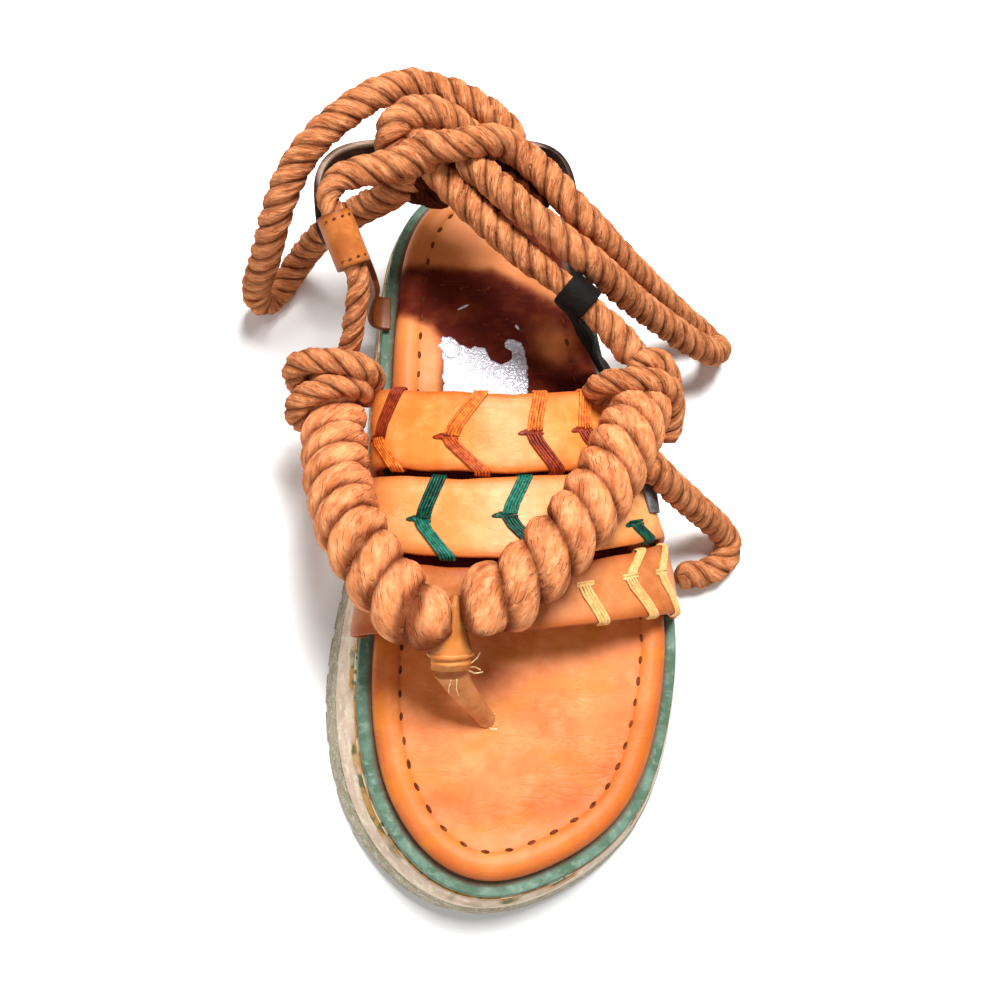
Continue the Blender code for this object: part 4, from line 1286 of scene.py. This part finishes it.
def strap(name, slot, material, seed):
    """A strap from a grid: bent to its arch, its edges slightly wavy, then given its thickness."""
    first, last = STRAP_RUNS[name][0][0], STRAP_RUNS[name][-1][0]
    wide = (strap_spot(name, pi / 2, 1.0) - strap_spot(name, pi / 2, 0.0)).length
    piece = add(bpy.ops.mesh.primitive_grid_add, x_subdivisions=STRAP_COLUMNS, y_subdivisions=STRAP_ROWS,
                size=2.0)
    edge = []
    flat = []
    for vertex in piece.data.vertices:
        run = first + (last - first) * (vertex.co.x + 1) / 2
        share = (vertex.co.y + 1) / 2
        flat.append((run * MM, share * wide * MM))
        near = min(share, 1 - share) * wide
        edge.append(max(0.0, 1 - near / BURNT_WIDE))
        wavy = noise.noise(Vector((run * 0.09, seed * 3.3, round(share)))) * (2 * share - 1) ** 2
        dent = noise.noise(Vector((run * 0.07, share * 2.0, seed * 5.1))) * DENTS
        curl = CURL_DOWN * max(0.0, 1 - near / CURL_WIDE) ** 2
        spot, out = on_strap(name, run, share + wavy * WAVY_EDGE)
        vertex.co = place(spot + out * (dent - curl))
    note(piece, "edge", edge)
    layer = piece.data.uv_layers.active
    layer.name = "Run"
    for corner, item in zip(piece.data.loops, layer.data):
        item.uv = flat[corner.vertex_index]
    face_outwards(piece)
    thicken(piece, STRAP_THICK, even=True)
    round_edges(piece, STRAP_ROUND, 50.0)
    settle(piece)
    keep(piece, name + "_leather", slot, material, name)


def leg(name, start, end, low, high, strands):
    """The strands of one slanted leg, from its slit at share low to the strap's edge at share high."""
    routes = []
    top = STRAP_THICK / 2
    out = 1.0 if high > low else -1.0
    for strand in range(strands):
        shift = (strand - (strands - 1) / 2) * LACE_THICK
        slit = low + random.uniform(-0.012, 0.012)
        # part of the way, share of the strap's width, height over its middle
        rows = [(0.0, slit, -0.4), (0.03, slit, top + 0.1), (0.10, slit, top + 0.38)]
        for step in range(1, 7):
            part = 0.10 + 0.84 * step / 6
            rows.append((part, slit + (high - slit) * part, top + 0.40 + 0.08 * random.random()))
        rows += [(1.0, high, top + 0.15), (1.0, high + out * 0.028, 0.3), (1.0, high + out * 0.028, -0.5),
                 (1.0, high - out * 0.02, -top - 0.25)]
        route = []
        for part, share, lift in rows:
            run = start + (end - start) * part + shift + random.uniform(-0.06, 0.06)
            spot, normal = on_strap(name, run, share)
            route.append(spot + normal * lift)
        routes.append(route)
    return routes


def turned_end(name, start, end, low, high):
    """The scuffed end of a strap, folded back over it."""
    piece = add(bpy.ops.mesh.primitive_grid_add, x_subdivisions=8, y_subdivisions=14, size=2.0,
                calc_uvs=False)
    for vertex in piece.data.vertices:
        across, along = (vertex.co.x + 1) / 2, (vertex.co.y + 1) / 2
        spot, normal = on_strap(name, start + (end - start) * across, low + (high - low) * along)
        bulge = 0.5 * sin(pi * along) + 0.3 * sin(pi * across) + 1.6 * along * across
        vertex.co = place(spot + normal * (STRAP_THICK / 2 + 0.5 + bulge))
    thicken(piece, TURNED_THICK)
    round_edges(piece, 0.25, 30.0)
    settle(piece)
    keep(piece, name + "_turned_end", "strap_leather_tan", MATS["scuffed"])


def lacing():
    """Chevrons of thread, each from a slit in the strap to its two edges."""
    slits = {}
    groups = {}
    for name, chevrons in LACING.items():
        bar = SLIT_THREAD[name]
        for apex, up_end, down_end, share, up_thread, down_thread, strands in chevrons:
            if up_thread:
                groups.setdefault(up_thread, []).extend(
                    leg(name, apex + 0.5, up_end, share + 0.02, 1.0, strands))
            if down_thread:
                groups.setdefault(down_thread, []).extend(
                    leg(name, apex - 0.4, down_end, share - 0.02, 0.0, strands))
            spot, normal = on_strap(name, apex - 1.4, share)
            ahead, other = on_strap(name, apex + 2.0, share + 0.02)
            if name != "strap_front":
                slits.setdefault(bar, []).append(lay_bead(
                    spot + normal * (STRAP_THICK / 2 + 0.02), ahead - spot, normal, SLIT_SIZE))
            for strand in (-0.5, 0.5):
                route = []
                for step in range(5):
                    spot, normal = on_strap(name, apex - 2.2 + 5.6 * step / 4, share + strand * 0.045)
                    route.append(spot + normal * (STRAP_THICK / 2 + 0.25 * (0 < step < 4)))
                groups.setdefault(bar, []).append(route)
    turned_end(*TURNED_END)
    for thread, routes in groups.items():
        threads("lacing_" + thread.replace("_thread", ""), routes, LACE_THICK, "strap_leather_orange",
                MATS[thread])
    for thread, turns in slits.items():
        scatter("slits_" + thread.replace("_thread", ""), bead(), turns, "strap_leather_orange",
                MATS[thread])


# ---------------------------------------------------------------- uprights, band, post
TUBE_CENTRE = Vector((-58.1, 62.0, 70.0))
TUBE_AXIS = Vector((-0.41, 0.82, 0.41)).normalized()
TUBE_WIDE = 16.6
TUBE_OUT = 5.5
BAND_MIDDLE_Z = 64.6
BAND_LIP = 3.6
HOLE_SIZE = (1.1, 0.8, 0.5)
HOLES_IN = 2.1
HOLES_ROUND = (38.0, 66.0, 94.0, 122.0)
TUBE_FROM_Z = 58.0


def uprights():
    """The two quarter straps with their tubes, the heel strip, and a row of holes at each tube end."""
    medial = from_node("upright_medial", "quarter_strap_medial", "tube_leather_tan", MATS["tube"],
                       0.45, 50.0)
    # the lateral upright, in tan leather coloured as painted shade
    from_node("upright_lateral", "quarter_strap_lateral", "tube_leather_dark", MATS["dark"], 0.45, 50.0)
    band = from_node("heel_strip", "heel_band", "band_leather_dark", MATS["band"], 0.4, 50.0)
    burnish_and_painted_light = []
    for vertex in medial.data.vertices:
        spot = Vector(unplace(vertex.co))
        end = abs((spot - TUBE_CENTRE).dot(TUBE_AXIS)) - TUBE_WIDE / 2
        # burnished at the tube's ends; below the tube the strap darkens as painted shade
        burnish_and_painted_light.append(limit(1.0 + end / 1.4) if spot.z > TUBE_FROM_Z else min(1.0, (60.0 - spot.z) / 8.0))
    note(medial, "edge", burnish_and_painted_light)
    # painted highlight along the heel strip's top and bottom lips
    note(band, "edge", [limit((abs(vertex.co.z / MM - BAND_MIDDLE_Z) - BAND_LIP) / 0.7)
                        for vertex in band.data.vertices])
    along, across, down = ring_axes(TUBE_CENTRE, TUBE_CENTRE + TUBE_AXIS)
    holes = []
    for end in (-1.0, 1.0):
        for degrees in HOLES_ROUND:
            out = across * cos(radians(degrees)) - down * sin(radians(degrees))
            spot = TUBE_CENTRE + TUBE_AXIS * end * (TUBE_WIDE / 2 - HOLES_IN) + out * (TUBE_OUT + 0.02)
            holes.append(lay_bead(spot, TUBE_AXIS.cross(out), out, HOLE_SIZE))
    # the tube's holes as dark beads: painted shade inside them
    scatter("tube_holes", bead(), holes, "tube_leather_tan", MATS["hole"])


ROLLS = [
    # share of the way up, half width, half depth, thickness
    (0.30, 5.0, 2.2, 1.5),
    (0.84, 5.9, 2.6, 1.7),
]
RING_FRONT = Vector((-23.6, -63.2, 55.4))
RING_BACK = Vector((-23.8, -59.2, 58.2))
WEDGE_FRONT = Vector((-23.9, -59.2, 59.4))
WEDGE_BACK = Vector((-23.0, -44.5, 63.8))
WEDGE_ROWS = [
    # run   half_wide half_deep
    (-0.12, 5.6,      1.4),
    (0.0,   6.2,      1.7),
    (0.2,   4.9,      2.0),
    (0.5,   3.5,      2.1),
    (0.8,   2.3,      1.7),
    (1.0,   1.3,      1.0),
]
WEDGE_FOLDS = 5
WEDGE_SIDES = 60
WEDGE_PLEAT = 0.62
COLLAR_RADIUS = 3.2
COLLAR_SIDES = 24
TORUS_MINOR = 0.25
FRAYS = [
    [(-18.6, -63.2, 55.0), (-16.6, -63.0, 54.6), (-15.0, -63.8, 54.4)],
    [(-18.8, -63.8, 54.0), (-16.4, -64.6, 53.2), (-14.2, -64.2, 53.4)],
    [(-18.0, -62.4, 57.0), (-16.2, -60.8, 57.4), (-15.4, -59.2, 57.0)],
    [(-21.6, -66.4, 53.4), (-21.4, -68.6, 50.0), (-20.6, -70.0, 47.4)],
    [(-23.2, -66.6, 53.2), (-23.6, -68.4, 50.6), (-23.4, -69.6, 48.0)],
    [(-11.6, -75.6, 29.6), (-8.6, -75.2, 28.8), (-6.6, -76.4, 28.6)],
    [(-11.0, -74.4, 30.2), (-8.6, -73.6, 29.4), (-7.4, -72.8, 28.8)],
    [(-10.4, -76.2, 29.0), (-8.8, -77.6, 28.7), (-7.0, -77.4, 28.6)],
]
FRAY_THICK = 0.4


def ring_axes(front, back):
    """Unit vectors along, across and away from the line between two points."""
    along = (back - front).normalized()
    across = Vector((1.0, 0.0, 0.0))
    across = (across - along * along.x).normalized()
    return along, across, along.cross(across)


def rolls():
    """The two rolled turns of leather that hold the thong, one a little wider than the other."""
    along, across, deep = ring_axes(RING_FRONT, RING_BACK)
    made = []
    for share, wide, high, thick in ROLLS:
        centre = RING_FRONT.lerp(RING_BACK, share)
        piece = add(bpy.ops.mesh.primitive_torus_add, major_segments=64, minor_segments=14,
                    major_radius=1.0, minor_radius=TORUS_MINOR)
        for vertex in piece.data.vertices:
            x, y, z = vertex.co
            out = Vector((x, y)).normalized()
            rim = (Vector((x, y)).length - 1.0) / TORUS_MINOR * thick / 2
            wave = noise.noise(Vector((x * 1.5, y * 1.5, share * 9.0))) * 0.35
            spot = centre + across * out.x * (wide + rim) + deep * out.y * (high + rim)
            vertex.co = place(spot + along * (z / TORUS_MINOR * thick / 2 + wave))
        face_outwards(piece)
        bpy.ops.object.shade_smooth()
        made.append(piece)
    collar = [RING_FRONT.lerp(RING_BACK, share) for share in (-0.1, 0.5, 1.1)]
    filler = tube(collar, COLLAR_RADIUS, COLLAR_SIDES)
    for vertex in filler.data.vertices:
        off = Vector(unplace(vertex.co)) - RING_FRONT
        vertex.co = place(RING_FRONT + along * off.dot(along) + across * off.dot(across) * 1.75
                          + deep * off.dot(deep) * 0.75)
    piece = join(made + [filler])
    note(piece, "edge", [0.0] * len(piece.data.vertices))
    keep(piece, "thong_rolls", "post_leather", MATS["ring"], "toe_post_ring")


def fold():
    """The pleated leather that fans out from between the rope arms down to the rolls."""
    along, across, deep = ring_axes(WEDGE_FRONT, WEDGE_BACK)
    points, edge = [], []
    for run, wide, high in smooth_route(WEDGE_ROWS, 0.35):
        centre = WEDGE_FRONT + (WEDGE_BACK - WEDGE_FRONT) * run
        for side in range(WEDGE_SIDES):
            turn = 2 * pi * side / WEDGE_SIDES
            ridge = max(0.0, cos(pi * WEDGE_FOLDS * cos(turn)))
            pleat = WEDGE_PLEAT * ridge * max(0.0, sin(turn))
            crease = noise.noise(Vector((cos(turn) * 3.0, sin(turn), run * 3.0))) * 0.25
            points.append(centre + across * cos(turn) * (wide + crease)
                          + deep * sin(turn) * (high + crease + pleat * wide / 3.0))
            # painted shade at the fold's sides and between its pleats
            edge.append(min(1.0, abs(cos(turn)) ** 4 + 0.5 * (1.0 - ridge) * max(0.0, run + 0.1)))
    piece = ringed(points, WEDGE_SIDES)
    face_outwards(piece)
    note(piece, "edge", edge)
    keep(piece, "thong_fold", "post_leather", MATS["ring"], "toe_wedge")


def toe_pieces():
    """The post between the toes, with its rolls, fold and frayed threads."""
    from_node("toe_thong", "toe_post", "post_leather", MATS["post"], 0.2, 50.0)
    rolls()
    fold()
    threads("frayed_ends", FRAYS, FRAY_THICK, "post_leather", MATS["pale_thread"])


# ---------------------------------------------------------------- the sandal
random.seed(7)
studio()
arm("arm_medial_rope", "rope_arm_medial", ARM_MEDIAL, 1.0, 0.4, 1.0, 3)
arm("arm_lateral_rope", "rope_arm_lateral", ARM_LATERAL, -1.0, 1.2, 2.2, 4, 6.4)
free_ropes = []
for seed, (name, node, route, far_end) in enumerate(CORDS):
    piece, line = rope(route, VISIBLE_THICK, seed=seed)
    keep(piece, name, "rope", MATS["rope_shaded_copy"], node)
    free_ropes.append((name, piece, line, far_end))
knot_piece = knot()
hitches()
for name, piece, line, far_end in free_ropes:
    [knot_piece] if name == "loop_medial" else []
platform()
worn_foil(footbed())
strap("strap_top", "strap_leather_orange", MATS["top"], 1)
strap("strap_middle", "strap_leather_tan", MATS["middle"], 2)
strap("strap_front", "strap_leather_brown", MATS["front"], 3)
lacing()
uprights()
toe_pieces()
